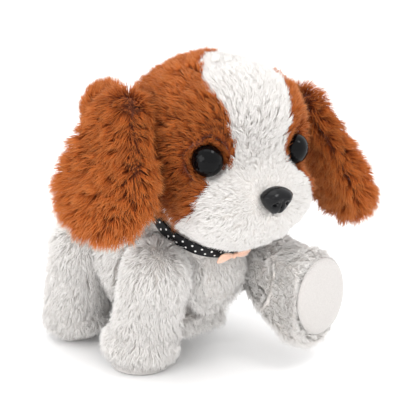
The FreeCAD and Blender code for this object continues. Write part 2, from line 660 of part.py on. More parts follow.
def swing_space(hy, lo, hi, dy, rad):
    """Room that a leg sweeps: lo and hi are turns about +X of the standing leg."""
    out = []
    for sgn in (1, -1):
        for xin, rmin in ((21.25, 0.0), (18.05, 16.5)):
            x0 = xin if sgn > 0 else -60.0
            ln = 60.0 - xin
            els = [cyl(19.6, ln, (x0, hy, HZ), "x")] if rmin == 0.0 else []
            # leg outline at several turns, close enough to leave no ridges of note
            n = max(2, int(abs(hi - lo) / 7.5) + 1)
            for k in range(n + 1):
                t = lo + (hi - lo) * k / n
                tilt = math.degrees(math.atan2(dy, 46.0))
                bx = box(x0, x0 + ln, -rad, rad, -60.0, -rmin if rmin else 0.0)
                turned(bx, (0, 0, 0), (1, 0, 0), tilt + t)
                bx.Placement = Plc(V(0, hy, HZ), Rot()).multiply(bx.Placement)
                els.append(bx)
            out.append(fuse(*els))
    return fuse(*out)


def arm_room(sgn, hy, angs, rad, half):
    """Room for the slotted arm of a leg frame beside the case, as it swings."""
    els = []
    for g in angs:
        x0, x1 = sorted((16.9 * sgn, 21.4 * sgn))
        bx = box(x0, x1, 0, rad, -half, half)
        turned(bx, (0, 0, 0), (1, 0, 0), g)
        bx.Placement = Plc(V(0, hy, HZ), Rot()).multiply(bx.Placement)
        els.append(bx)
    return fuse(*els)


tools = [box(-17.75, 17.75, -36.2, 40.2, 32.2, 64.2), box(-15.1, 15.1, 35.0, 40.3, 60.0, 69.8),
         arm_room(1, HFY, [dirF + 43.0 + 10.5 * k for k in range(10)], far + 3.0, 5.6),
         arm_room(-1, HFY, [dirF - 17.0 + 8.0 * k for k in range(5)], LCF + rFR + 4.8, 5.2),
         fuse(box(-15.1, 15.1, -12, 36, 60, 77.8)),
         box(-16.7, 16.7, -26.1, 31.5, 14.5, 33),
         box(-21.4, 21.4, HFY - 8.0, HFY + 26.6, 24.0, 67.0),
         box(-21.4, 21.4, HRY - 27.6, HRY + 8.0, 35.5, 61.0),
         swing_space(HFY, -90.0, 0.0, 12.0, 21.6),
         swing_space(HRY, -11.0, 11.0, 0.0, 19.6)]
node_torso_tools = tools
torso = cut(torso, *tools)
torso = cut(torso, cyl(14.4, 6.4, (0, -36.1, 48), "-y"),
            box(-13.3, 13.3, -22.9, 30.3, 10, 14.6),
            box(-6.1, 6.1, 32.1, 39.1, 15, 33), box(-4.2, 4.2, 33.6, 37.6, 10, 17),
            cyl(11.0, 40.0, (0, "neck_pivot_y", 62), "z"),
            box(-5.6, 5.6, 38, 70, 50, 90))
torso = cut(torso, cut(neck_cyl("neck_rad + 0.15 + collar_thick", -1.55, 4.8), neck_cyl("neck_rad", -6.0, 6.0)))
node(torso, "body_plush")

# collar ribbon round the neck, and the small bow on it
col = cut(neck_cyl("neck_rad + 0.1 + collar_thick", -1.5, 4.5), neck_cyl("neck_rad + 0.1", -6.0, 6.0))
node(col, "collar_ribbon")
fwd = neck_rot.multVec(V(0, -1, 0))
bow_c = nc + nv * 1.5 + fwd * (D["neck_rad"] + 0.1 + D["collar_thick"] + 1.7)
loops = []
for sgn in (1, -1):
    lp = box(1.0 if sgn > 0 else -11.0, 11.0 if sgn > 0 else -1.0, -1.1, 1.1, -3.3, 3.3)
    lp = fillet(lp, 0.9, lambda e: e.BoundBox.YLength > 2.0)
    loops.append(lp)
knot = box(-2.2, 2.2, -1.6, 1.6, -2.5, 2.5)
bow = fuse(*(loops + [knot]))
bow_rot = Rot(V(1, 0, 0), nv.cross(V(1, 0, 0)), nv, "ZXY")
node(bow, "collar_bow", Plc(bow_c, bow_rot))

# belly flap with its hook tape
node(fillet(box(-13.0, 13.0, -22.0, 30.0, 12.6, 14.0), 0.5, lambda e: e.BoundBox.ZLength < 0.01 and e.BoundBox.ZMax < 13), "belly_flap")
node(box(-11.5, 11.5, 18.0, 24.6, 14.0, 14.35), "hook_tape")

# ================================================================= head
yaw = D["head_yaw"]
hpiv = V(0, D["neck_pivot_y"], D["neck_pivot_z"])
head_mv = Plc(hpiv - Rot(V(0, 0, 1), yaw).multVec(hpiv), Rot(V(0, 0, 1), yaw))
inv_mv = head_mv.inverse()


def head_outer(grow=0.0, parts=("skull", "brow", "muzzle")):
    out = []
    for p in parts:
        out.append(ball("%s_rx + %r" % (p, grow), "%s_ry + %r" % (p, grow), "%s_rz + %r" % (p, grow),
                        (0, p + "_y", p + "_z")))
    return fuse(*out)


def neck_room():
    """Space kept clear under the head: the torso and collar, at rest and with the head nodded back."""
    els = []
    for deg in (0.0, 3.0, 6.5):
        for o in (ball("torso_rx + 2.2", "torso_ry + 2.2", "torso_rz + 2.2", (0, "torso_y", "torso_z")),
                  neck_cyl("neck_rad + 5.6", -22.0, 7.4)):
            o.Placement = inv_mv.multiply(o.Placement)
            turned(o, (0, D["neck_pivot_y"], D["neck_pivot_z"]), (1, 0, 0), deg)
            els.append(o)
    return fuse(*els)


room = neck_room()


def eye_dir(sgn):
    d = V(D["eye_x"] * sgn, D["eye_y"] - D["skull_y"], D["eye_z"] - D["skull_z"])
    d.normalize()
    return d


# hard skull in two halves, split across the ears: a ball for the cranium and one for the snout
def skull_balls(grow):
    return fuse(sphere(33.7 + grow, (0, "skull_y", "skull_z")), sphere(20.5 + grow, (0, -64.0, 95.0)))


def neck_clear():
    els = []
    for deg in (0.0, 3.0, 6.5):
        o = neck_cyl("neck_rad + 5.6", -22.0, 7.4)
        o.Placement = inv_mv.multiply(o.Placement)
        turned(o, (0, D["neck_pivot_y"], D["neck_pivot_z"]), (1, 0, 0), deg)
        els.append(o)
    return fuse(*els)


ny, nz = D["neck_pivot_y"], D["neck_pivot_z"]
shell = cut(skull_balls(0.0), skull_balls(-D["shell_wall"]))
holes = []
for sgn in (1, -1):
    d = eye_dir(sgn)
    c = V(D["eye_x"] * sgn, D["eye_y"], D["eye_z"])
    st = cyl(1.9, 20.0, (0, 0, 0))
    st.Placement = Plc(c, Rot(V(0, 0, 1), d * -1))
    holes.append(st)
holes.append(cyl(1.9, 30.0, (0, -95, "nose_z"), "y"))
holes.append(cyl(4.1, 30.0, (0, ny, nz), (0, -2.6, 23.0)))
shell = cut(shell, neck_clear(), fuse(*holes))
split = -42.0
node(common(shell, box(-60, 60, -110, split - 0.1, 40, 180)), "skull_front", head_mv)
node(common(shell, box(-60, 60, split + 0.1, 30, 40, 180)), "skull_rear", head_mv)

# head fur cover
hp = cut(head_outer(0.0), skull_balls(0.3))
bits = [room]
for sgn in (1, -1):
    d = eye_dir(sgn)
    c = V(D["eye_x"] * sgn, D["eye_y"], D["eye_z"])
    e = cyl("eye_rad + 0.2", 20.0, (0, 0, 0))
    e.Placement = Plc(c - d * 3.2, Rot(V(0, 0, 1), d))
    st = cyl(1.95, 14.0, (0, 0, 0))
    st.Placement = Plc(c, Rot(V(0, 0, 1), d * -1))
    bits += [e, st]
bits += [cyl(7.8, 8.0, (0, "nose_y + 1.8", "nose_z"), "-y"), cyl(1.95, 20, (0, -90, "nose_z"), "y"),
         cyl(4.3, 26.0, (0, ny, nz), (0, -2.6, 23.0))]
for tool in bits:
    hp = cut(hp, tool)
node(hp, "head_plush", head_mv)

# safety eyes: dome, rim and ribbed stem, turned from one profile
for nm, sgn in (("eye_left", 1), ("eye_right", -1)):
    b = new_body(nm)
    s = sketch(b, "profile", "XZ_Plane")
    r = D["eye_rad"]
    pts = [(0, -11.5), (1.8, -11.5), (1.8, -3.0), (r - 1.6, -3.0), (r, -1.4), (r, 0)]
    for k in range(1, 9):
        a = math.radians(90.0 * k / 9)
        pts.append((r * math.cos(a), 0.86 * r * math.sin(a)))
    pts.append((0, 0.86 * r))
    poly(s, pts)
    revolve(b, s)
    doc.recompute()
    d = eye_dir(sgn)
    c = V(D["eye_x"] * sgn, D["eye_y"], D["eye_z"])
    b.Placement = head_mv.multiply(Plc(c, Rot(V(0, 0, 1), d)))
ws = []
for sgn in (1, -1):
    d = eye_dir(sgn)
    c = V(D["eye_x"] * sgn, D["eye_y"], D["eye_z"])
    w = cut(cyl(5.6, 1.2, (0, 0, 0)), cyl(1.8, 3.0, (0, 0, -1)))
    w.Placement = Plc(c - d * 10.6, Rot(V(0, 0, 1), d))
    ws.append(w)
doc.recompute()
f = tmp("Part::Compound")
f.Links = ws
node(f, "eye_washers", head_mv)

# nose: moulded button on a stem, turned from one profile
b = new_body("nose")
s = sketch(b, "profile", "XZ_Plane")
pts = [(0, -14.5), (1.8, -14.5), (1.8, -1.6), (5.6, -1.6), (7.3, -0.4), (7.5, 1.2)]
for k in range(1, 8):
    a = math.radians(90.0 * k / 8)
    pts.append((7.5 * math.cos(a), 1.2 + 4.6 * math.sin(a)))
pts.append((0, 5.8))
poly(s, pts)
revolve(b, s)
doc.recompute()
b.Placement = head_mv.multiply(Plc(V(0, D["nose_y"], D["nose_z"]), Rot(V(0, 0, 1), V(0, -1, 0))))
node(cut(cyl(5.0, 1.2, (0, -80.4, "nose_z"), "y"), cyl(1.8, 4, (0, -82, "nose_z"), "y")), "nose_washer", head_mv)

# neck arm: pivots on the neck pin, carries the skull, and its fork rides on the eccentric
arm_up = cyl(3.4, 24.0, (0, ny, nz), (0, -2.6, 23.0))
flange = cyl(5.0, 1.6, (0, ny - 2.6, 93.2), "z")
eye_b = cyl(4.6, 6.0, (-3.0, ny, nz), "x")
arm = fuse(eye_b, arm_up, flange)
node(cut(arm, cyl("pin_rad + run_gap", 20, (-10, ny, nz), "x"), cyl(1.1, 12, (0, ny - 2.5, 85), "z")), "neck_post")
# fork: a plate in the plane of the eccentric
ang_f = math.degrees(math.atan2(CZ - nz, CFY - ny))
reach = math.hypot(CZ - nz, CFY - ny)
fb = box(-1.6, 1.6, 0, reach + 5.0, -9.4, 9.4)
fs = box(-3, 3, reach - 7.2, reach + 8.0, -7.5, 7.5)
fork = cut(fb, fs, box(-3, 3, 4.0, reach - 10.5, 4.6, 12), box(-3, 3, 4.0, reach - 10.5, -12, -4.6))
turned(fork, (0, 0, 0), (1, 0, 0), ang_f)
fork.Placement = Plc(V(0, ny, nz), Rot()).multiply(fork.Placement)
fork = cut(fork, cyl(4.6, 10.0, (-5.0, ny, nz), "x"), box(-4, 4, -40, 0, 67.2, 90))
node(fork, "neck_fork")
node(cyl("pin_rad", 18.0, (-9.0, ny, nz), "x"), "neck_pin")

# ears: soft flaps hung from the sides of the head; each has its inner face on a plane
# that just clears the skull's fur
def ear(label, sgn, phi, tau, along, drop, thick, r1, r2, za, zb):
    """sgn: side; phi: how far its face is turned to the front; tau: how far the flap stands off the
    vertical; along: how far back it sits; drop: its middle below the place where it touches the head."""
    p, q = math.radians(phi), math.radians(tau)
    n = V(sgn * math.cos(p) * math.cos(q), -math.sin(p) * math.cos(q), math.sin(q))
    back = V(sgn * math.sin(p), math.cos(p), 0)
    t = n.cross(back)
    t = t * (1.0 if t.z > 0 else -1.0)
    support = math.sqrt((D["skull_rx"] * n.x) ** 2 + (D["skull_ry"] * n.y) ** 2 + (D["skull_rz"] * n.z) ** 2) + 0.6
    mid = V(0, D["skull_y"], D["skull_z"]) + n * support + back * along - t * drop
    rot = Rot(n, t.cross(n), t, "XZY")
    b = new_body(label)
    s = sketch(b, "outline", "YZ_Plane")
    ph = math.asin((r2 - r1) / (za - zb))
    pa = (r1 * math.cos(ph), za + r1 * math.sin(ph))
    pb = (r2 * math.cos(ph), zb + r2 * math.sin(ph))
    s.addGeometry([Part.ArcOfCircle(Part.Circle(V(0, za, 0), V(0, 0, 1), r1), ph, math.pi - ph),
                   Part.LineSegment(V(-pa[0], pa[1], 0), V(-pb[0], pb[1], 0)),
                   Part.ArcOfCircle(Part.Circle(V(0, zb, 0), V(0, 0, 1), r2), math.pi - ph, 2 * math.pi + ph),
                   Part.LineSegment(V(pb[0], pb[1], 0), V(pa[0], pa[1], 0))], False)
    s.addConstraint([Sketcher.Constraint("Coincident", 0, 2, 1, 1), Sketcher.Constraint("Coincident", 1, 2, 2, 1),
                     Sketcher.Constraint("Coincident", 2, 2, 3, 1), Sketcher.Constraint("Coincident", 3, 2, 0, 1)])
    p = pad(b, s, thick, name="flap")
    doc.recompute()
    f = b.newObject("PartDesign::Fillet", label + "_round")
    names = ["Edge%d" % (i + 1) for i, e in enumerate(p.Shape.Edges)
             if abs(abs(e.BoundBox.XMin) - num(thick)) < 0.01 and abs(abs(e.BoundBox.XMax) - num(thick)) < 0.01]
    f.Base = (p, names)
    f.Radius = 6.3
    b.Tip = f
    doc.recompute()
    b.Placement = head_mv.multiply(Plc(mid, rot))
    return b


ear("ear_right", -1, 22.0, 18.0, 18.0, 20.0, "ear_thick", 14.5, 23.0, 18.0, -13.0)
ear("ear_left", 1, 7.0, 27.0, 3.0, 40.0, "ear_thick", 14.5, 22.5, 23.0, -16.0)

# ================================================================= tail
ty, tz0 = 45.0, 66.0
tip = V(math.sin(math.radians(8)) * 1.0, 0, 1)
lever = fuse(cyl(3.6, 6.0, (0, ty - 3.6, tz0), "y"), box(-1.6, 1.6, ty - 3.6, ty + 2.4, tz0, 84), box(-1.6, 1.6, ty - 3.6, ty + 12.0, 80.0, 84),
             box(-1.4, 1.4, ty - 3.6, ty - 0.8, 55.0, tz0), box(-1.4, 1.4, 31.2, ty - 0.8, 52.4, 55.4),
             box(-4.9, 4.9, 29.4, 32.0, 52.4, 55.4), box(3.5, 4.9, 24.2, 30.0, 50.2, 54.6), box(-4.9, -3.5, 24.2, 30.0, 50.2, 54.6))
lever = cut(lever, cyl("pin_rad + run_gap", 20, (0, ty - 8, tz0), "y"))
wag = Plc(V(0, ty, tz0), Rot(V(0, 1, 0), 7.0)).multiply(Plc(V(0, -ty, -tz0), Rot()))
node(lever, "tail_lever", wag)
node(cyl("pin_rad", 11.5, (0, ty - 6.6, tz0), "y"), "tail_pin")
t1 = fuse(sphere(11.0, (0, 54, 82)), cyl(11.0, 38.0, (0, 54, 82), (0, 4.0, 37.0)), sphere(12.4, (0, 57, 119)))
tt = ball("torso_rx + 0.6", "torso_ry + 0.6", "torso_rz + 0.6", (0, "torso_y", "torso_z"))
tt.Placement = wag.inverse().multiply(tt.Placement)
tt2 = ball("torso_rx + 0.6", "torso_ry + 0.6", "torso_rz + 0.6", (0, "torso_y", "torso_z"))
tt2.Placement = wag.multiply(tt2.Placement)
t1 = cut(t1, tt, tt2, box(-1.7, 1.7, ty - 3.7, ty + 12.1, 60, 84.1))
node(t1, "tail_plush", wag)

# ================================================================= finish
shift = Plc(V(D["shift_x"], D["shift_y"], 0), Rot())
doc.recompute()
for o in NODES:
    o.Placement = shift.multiply(o.Placement)
doc.recompute()

bad = []
for o in doc.Objects:
    st = [s for s in o.State if s in ("Invalid", "Error")]
    if st:
        bad.append((o.Name, o.Label, st))
for o in NODES:
    if o.Shape.isNull() or not o.Shape.isValid() or not o.Shape.Solids:
        bad.append((o.Name, o.Label, "shape"))
if bad:
    raise RuntimeError("failed objects: %s" % bad)

os.makedirs("parts", exist_ok=True)
total = None
for o in NODES:
    sh = o.Shape
    sh.exportStep(os.path.join("parts", o.Label + ".step"))
    bb = sh.BoundBox
    total = FreeCAD.BoundBox(bb) if total is None else total
    total.add(bb)
    print("%-20s solids %d  vol %9.1f  x %6.1f %6.1f  y %6.1f %6.1f  z %6.1f %6.1f" % (
        o.Label, len(sh.Solids), sh.Volume, bb.XMin, bb.XMax, bb.YMin, bb.YMax, bb.ZMin, bb.ZMax))
print("nodes", len(NODES), "box", round(total.XMin, 2), round(total.XMax, 2), round(total.YMin, 2), round(total.YMax, 2),
      round(total.ZMin, 2), round(total.ZMax, 2))
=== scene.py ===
"""Interactive plush puppy: soft skins, pile, face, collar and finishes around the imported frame."""
import json
import math
import bmesh
import bpy
import numpy as np
from mathutils import Matrix, Vector, kdtree
from mathutils.bvhtree import BVHTree


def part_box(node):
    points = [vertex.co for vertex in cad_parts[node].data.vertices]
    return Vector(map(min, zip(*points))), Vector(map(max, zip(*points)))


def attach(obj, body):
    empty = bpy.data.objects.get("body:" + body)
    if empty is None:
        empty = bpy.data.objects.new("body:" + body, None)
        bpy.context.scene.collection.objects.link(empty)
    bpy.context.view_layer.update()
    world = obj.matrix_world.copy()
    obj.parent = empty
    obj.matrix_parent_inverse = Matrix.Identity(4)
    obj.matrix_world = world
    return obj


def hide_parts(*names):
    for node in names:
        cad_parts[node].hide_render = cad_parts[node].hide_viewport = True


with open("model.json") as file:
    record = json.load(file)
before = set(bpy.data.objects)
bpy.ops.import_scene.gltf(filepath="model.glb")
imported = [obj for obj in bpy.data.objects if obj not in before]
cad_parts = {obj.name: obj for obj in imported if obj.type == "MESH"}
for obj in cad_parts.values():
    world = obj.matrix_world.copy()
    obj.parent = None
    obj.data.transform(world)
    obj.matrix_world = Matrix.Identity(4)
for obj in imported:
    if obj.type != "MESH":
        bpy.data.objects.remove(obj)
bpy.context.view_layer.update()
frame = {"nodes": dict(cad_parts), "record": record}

# ------------------------------------------------------------------ places (mm, design coordinates)
lo_n, hi_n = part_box("neck_pin")
lo_g, hi_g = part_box("gearbox_left")
SX = lo_g[0] * 1000.0
lo_f, hi_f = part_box("front_hip_axle")
SY = (lo_f[1] + hi_f[1]) * 500.0 + 28.0
SH = np.array([SX, SY, 0.0])
YAW = math.radians(-10)
PIV = np.array([0.0, -22.0, 70.0])
RH = np.array([[math.cos(YAW), -math.sin(YAW), 0], [math.sin(YAW), math.cos(YAW), 0], [0, 0, 1.0]])


def head_to_row(p):
    return (np.asarray(p, float) - PIV) @ RH.T + PIV + SH


def row_to_head(p):
    return (np.asarray(p, float) - SH - PIV) @ RH + PIV


def unit(v):
    return v / np.maximum(np.linalg.norm(v, axis=-1, keepdims=True), 1e-9)


# ------------------------------------------------------------------ materials
def mat(name, rough=0.6, metallic=0.0, colour=(0.8, 0.8, 0.8), **sockets):
    m = bpy.data.materials.new(name)
    m.use_nodes = True
    b = m.node_tree.nodes["Principled BSDF"]
    b.inputs["Base Color"].default_value = (*colour, 1)
    b.inputs["Roughness"].default_value = rough
    b.inputs["Metallic"].default_value = metallic
    for k, v in sockets.items():
        b.inputs[k.replace("_", " ")].default_value = v
    m.diffuse_color = (*colour, 1)
    return m, m.node_tree, b


def srgb(r, g, b):
    return tuple(((c / 255) / 12.92 if c / 255 <= 0.04045 else ((c / 255 + 0.055) / 1.055) ** 2.4) for c in (r, g, b))


def ramp(nt, stops, interp="LINEAR"):
    n = nt.nodes.new("ShaderNodeValToRGB")
    n.color_ramp.interpolation = interp
    e = n.color_ramp.elements
    while len(e) < len(stops):
        e.new(0.5)
    for k, (p, c) in enumerate(stops):
        e[k].position = p
        e[k].color = (*c, 1)
    return n


def textured(name, c1, c2, scale, rough, bump=0.2, dist=0.0002, metallic=0.0, kind="noise", stretch=(1, 1, 1), rough_var=0.0, detail=4.0, **sockets):
    """Two-colour procedural finish in object space, with a bump of the same grain."""
    m, nt, b = mat(name, rough, metallic, tuple((x + y) / 2 for x, y in zip(c1, c2)), **sockets)
    tc = nt.nodes.new("ShaderNodeTexCoord")
    mp = nt.nodes.new("ShaderNodeMapping")
    mp.inputs["Scale"].default_value = stretch
    nt.links.new(tc.outputs["Object"], mp.inputs["Vector"])
    if kind == "noise":
        t = nt.nodes.new("ShaderNodeTexNoise")
        t.inputs["Scale"].default_value = scale
        t.inputs["Detail"].default_value = detail
        out = t.outputs["Fac"]
    elif kind == "voronoi":
        t = nt.nodes.new("ShaderNodeTexVoronoi")
        t.inputs["Scale"].default_value = scale
        out = t.outputs["Distance"]
    else:
        t = nt.nodes.new("ShaderNodeTexWave")
        t.inputs["Scale"].default_value = scale
        t.inputs["Distortion"].default_value = 1.0
        out = t.outputs["Fac"]
    nt.links.new(mp.outputs["Vector"], t.inputs["Vector"])
    r = ramp(nt, [(0.3, c1), (0.7, c2)])
    nt.links.new(out, r.inputs["Fac"])
    nt.links.new(r.outputs["Color"], b.inputs["Base Color"])
    if bump:
        bp = nt.nodes.new("ShaderNodeBump")
        bp.inputs["Strength"].default_value = bump
        bp.inputs["Distance"].default_value = dist
        nt.links.new(out, bp.inputs["Height"])
        nt.links.new(bp.outputs["Normal"], b.inputs["Normal"])
    if rough_var:
        mr = nt.nodes.new("ShaderNodeMapRange")
        mr.inputs["To Min"].default_value = max(rough - rough_var, 0.02)
        mr.inputs["To Max"].default_value = min(rough + rough_var, 1.0)
        nt.links.new(out, mr.inputs["Value"])
        nt.links.new(mr.outputs["Result"], b.inputs["Roughness"])
    return m


def pile_material(name, roots, tones, rough=0.75, sheen=0.12, tint=(1, 1, 1)):
    """Colour of the pile from its own map: v runs root to tip, u is the tone of the strand."""
    m, nt, b = mat(name, rough, 0.0, roots[-1][1], Sheen_Weight=sheen, Sheen_Roughness=0.4, Specular_IOR_Level=0.25)
    b.inputs["Sheen Tint"].default_value = (*tint, 1)
    uv = nt.nodes.new("ShaderNodeUVMap")
    uv.uv_map = "OFBake"
    sp = nt.nodes.new("ShaderNodeSeparateXYZ")
    nt.links.new(uv.outputs["UV"], sp.inputs["Vector"])
    a = ramp(nt, roots)
    t = ramp(nt, tones)
    nt.links.new(sp.outputs["Y"], a.inputs["Fac"])
    nt.links.new(sp.outputs["X"], t.inputs["Fac"])
    mx = nt.nodes.new("ShaderNodeMix")
    mx.data_type = "RGBA"
    mx.blend_type = "MULTIPLY"
    mx.inputs[0].default_value = 1.0
    nt.links.new(a.outputs["Color"], mx.inputs[6])
    nt.links.new(t.outputs["Color"], mx.inputs[7])
    nt.links.new(mx.outputs[2], b.inputs["Base Color"])
    return m


BROWN = [(0.0, srgb(104, 38, 6)), (0.35, srgb(170, 78, 20)), (0.75, srgb(199, 107, 42)), (1.0, srgb(226, 150, 88))]
BROWN_T = [(0.0, (0.52, 0.48, 0.45)), (0.3, (0.78, 0.76, 0.74)), (0.7, (0.98, 0.98, 0.98)), (1.0, (1.0, 1.0, 1.0))]
WHITE = [(0.0, srgb(243, 238, 234)), (0.4, srgb(248, 245, 242)), (1.0, srgb(251, 249, 247))]
WHITE_T = [(0.0, (0.93, 0.92, 0.915)), (0.35, (0.98, 0.977, 0.972)), (1.0, (1.0, 1.0, 1.0))]
M = {}
M["brown_pile"] = pile_material("brown_pile", BROWN, BROWN_T, tint=srgb(255, 200, 160))
M["white_pile"] = pile_material("white_pile", WHITE, WHITE_T, sheen=0.05)
M["brown_base"] = textured("brown_base", srgb(92, 40, 15), srgb(140, 68, 30), 900, 0.85, 0.5, 0.0004, Sheen_Weight=0.3)
M["white_base"] = textured("white_base", srgb(226, 220, 215), srgb(236, 232, 228), 900, 0.85, 0.5, 0.0004, Sheen_Weight=0.3)
M["sole_fabric"] = textured("sole_fabric", srgb(182, 178, 175), srgb(192, 188, 185), 1500, 0.8, 0.5, 0.0002, Sheen_Weight=0.3)
M["black_gloss"] = textured("black_gloss", srgb(3, 3, 4), srgb(6, 6, 7), 220, 0.06, 0.0, Specular_IOR_Level=0.12, rough_var=0.02)
M["nose_gloss"] = textured("nose_gloss", srgb(6, 6, 8), srgb(14, 14, 16), 500, 0.14, 0.12, 0.0001, Specular_IOR_Level=0.2)
M["bow_satin"] = textured("bow_satin", srgb(224, 172, 146), srgb(240, 196, 172), 1200, 0.38, 0.25, 0.0001, Sheen_Weight=0.4)
M["hook_tape"] = textured("hook_tape", srgb(225, 225, 222), srgb(245, 245, 243), 1400, 0.75, 0.8, 0.0004, kind="voronoi")
M["white_plastic"] = textured("white_plastic", srgb(214, 209, 204), srgb(224, 220, 216), 700, 0.5, 0.15, 0.0001, rough_var=0.06)
M["white_acetal"] = textured("white_acetal", srgb(236, 234, 226), srgb(246, 245, 240), 400, 0.35, 0.08, 0.0001, rough_var=0.05)
M["crank_plastic"] = textured("crank_plastic", srgb(58, 92, 150), srgb(66, 102, 162), 500, 0.42, 0.1, 0.0001, rough_var=0.05)
M["steel"] = textured("steel", srgb(168, 170, 174), srgb(204, 206, 208), 300, 0.3, 0.1, 0.00005, metallic=1.0, stretch=(6, 1, 1), rough_var=0.08)
M["cell_case"] = textured("cell_case", srgb(40, 44, 52), srgb(52, 56, 66), 250, 0.35, 0.05, 0.0001, rough_var=0.06)
M["board"] = textured("board", srgb(18, 84, 50), srgb(28, 104, 62), 900, 0.4, 0.2, 0.0001, rough_var=0.08)
M["speaker_black"] = textured("speaker_black", srgb(22, 22, 23), srgb(40, 40, 42), 800, 0.7, 0.3, 0.0001)
M["switch_black"] = textured("switch_black", srgb(24, 24, 25), srgb(36, 36, 38), 700, 0.5, 0.2, 0.0001, rough_var=0.06)
M["thread"] = textured("thread", srgb(20, 18, 18), srgb(46, 40, 36), 2500, 0.6, 0.5, 0.0001)


def ribbon_material():
    """Black ribbon, small white dots in two staggered rows, and a fine weave."""
    m, nt, b = mat("collar_ribbon_dots", 0.6, 0.0, srgb(17, 17, 19), Sheen_Weight=0.05, Specular_IOR_Level=0.2)
    N = nt.nodes.new
    L = nt.links.new
    uv = N("ShaderNodeUVMap")
    uv.uv_map = "OFBake"
    sp = N("ShaderNodeSeparateXYZ")
    L(uv.outputs["UV"], sp.inputs[0])

    def math_(op, a, bb=None):
        n = N("ShaderNodeMath")
        n.operation = op
        for k, v in enumerate((a, bb)):
            if v is None:
                continue
            if isinstance(v, (int, float)):
                n.inputs[k].default_value = v
            else:
                L(v, n.inputs[k])
        return n.outputs[0]

    best = None
    nu = 34.0
    for row, (vc, off) in enumerate(((0.30, 0.0), (0.70, 0.5))):
        fu = math_("SUBTRACT", math_("FRACT", math_("ADD", math_("MULTIPLY", sp.outputs["X"], nu), off)), 0.5)
        fu = math_("MULTIPLY", fu, 167.0 / nu)
        fv = math_("MULTIPLY", math_("SUBTRACT", sp.outputs["Y"], vc), 5.9)
        d = math_("SQRT", math_("ADD", math_("MULTIPLY", fu, fu), math_("MULTIPLY", fv, fv)))
        best = d if best is None else math_("MINIMUM", best, d)
    r = ramp(nt, [(0.0, srgb(244, 242, 240)), (0.46, srgb(236, 234, 232)), (0.56, srgb(12, 12, 14)), (1.0, srgb(17, 17, 19))])
    L(best, r.inputs["Fac"])
    L(r.outputs["Color"], b.inputs["Base Color"])
    w = N("ShaderNodeTexNoise")
    w.inputs["Scale"].default_value = 2600
    tc = N("ShaderNodeTexCoord")
    L(tc.outputs["Object"], w.inputs["Vector"])
    bp = N("ShaderNodeBump")
    bp.inputs["Strength"].default_value = 0.4
    bp.inputs["Distance"].default_value = 0.0002
    L(w.outputs["Fac"], bp.inputs["Height"])
    L(bp.outputs["Normal"], b.inputs["Normal"])
    return m


M["collar_ribbon"] = ribbon_material()


# ------------------------------------------------------------------ meshes
def new_mesh_object(name, co_mm, faces, mats, smooth=True, idx=None):
    me = bpy.data.meshes.new(name)
    me.from_pydata((np.asarray(co_mm) * 0.001).tolist(), [], [list(map(int, f)) for f in faces])
    for m in mats:
        me.materials.append(m)
    me.polygons.foreach_set("use_smooth", [smooth] * len(me.polygons))
    if idx is not None:
        me.polygons.foreach_set("material_index", np.asarray(idx, np.int32))
    me.update()
    o = bpy.data.objects.new(name, me)
    bpy.context.scene.collection.objects.link(o)
    return o


def arrays(me):
    co = np.empty(len(me.vertices) * 3)
    me.vertices.foreach_get("co", co)
    no = np.empty(len(me.vertices) * 3)
    me.vertices.foreach_get("normal", no)
    return co.reshape(-1, 3) * 1000.0, no.reshape(-1, 3)


def triangles(me):
    me.calc_loop_triangles()
    t = np.empty(len(me.loop_triangles) * 3, np.int32)
    me.loop_triangles.foreach_get("vertices", t)
    return t.reshape(-1, 3)


def skin(name, node, voxel=1.4, smooth=6, shrink=3.0, reach=70.0, warp=None):
    """Sewn cover made from the CAD soft solid: evened out, softened, drawn in where pile stands on it.
    Returns the object and, for each of its points, whether it lies on the outside."""
    src = frame["nodes"][node]
    me = src.data.copy()
    o = bpy.data.objects.new(name, me)
    bpy.context.scene.collection.objects.link(o)
    md = o.modifiers.new("even", "REMESH")
    md.mode = "VOXEL"
    md.voxel_size = voxel * 0.001
    md.use_smooth_shade = True
    if smooth:
        ms = o.modifiers.new("soft", "SMOOTH")
        ms.factor = 0.5
        ms.iterations = smooth
    bpy.context.view_layer.update()
    dg = bpy.context.evaluated_depsgraph_get()
    new = bpy.data.meshes.new_from_object(o.evaluated_get(dg))
    o.modifiers.clear()
    o.data = new
    new.name = name
    co, no = arrays(new)
    tree = BVHTree.FromPolygons((co).tolist(), triangles(new).tolist())
    outside = np.ones(len(co))
    for i in range(len(co)):
        h = tree.ray_cast(Vector(co[i] + no[i] * 0.4), Vector(no[i]), reach)
        if h[0] is not None:
            outside[i] = 0.0
    # even the mask out over neighbours
    e = np.empty(len(new.edges) * 2, np.int32)
    new.edges.foreach_get("vertices", e)
    e = e.reshape(-1, 2)
    deg = np.bincount(e.ravel(), minlength=len(co)).astype(float)
    hard = outside.copy()
    w = outside.copy()
    for _ in range(5):
        s = np.bincount(e[:, 0], w[e[:, 1]], minlength=len(co)) + np.bincount(e[:, 1], w[e[:, 0]], minlength=len(co))
        w = 0.5 * w + 0.5 * s / np.maximum(deg, 1)
    co = co - no * (shrink * w * (hard > 0.5))[:, None]
    if warp is not None:
        co = warp(co, w)
    new.vertices.foreach_set("co", (co * 0.001).ravel())
    new.update()
    return o, w


def finish_skin(o, body, node, base):
    o.data.materials.clear()
    for m in (base if isinstance(base, (list, tuple)) else [base]):
        o.data.materials.append(m)
    o.data.polygons.foreach_set("use_smooth", [True] * len(o.data.polygons))
    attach(o, body)
    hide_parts(node)
    return o


# ------------------------------------------------------------------ pile
RNG = np.random.default_rng(20417)
MAX_TRIS = 190000


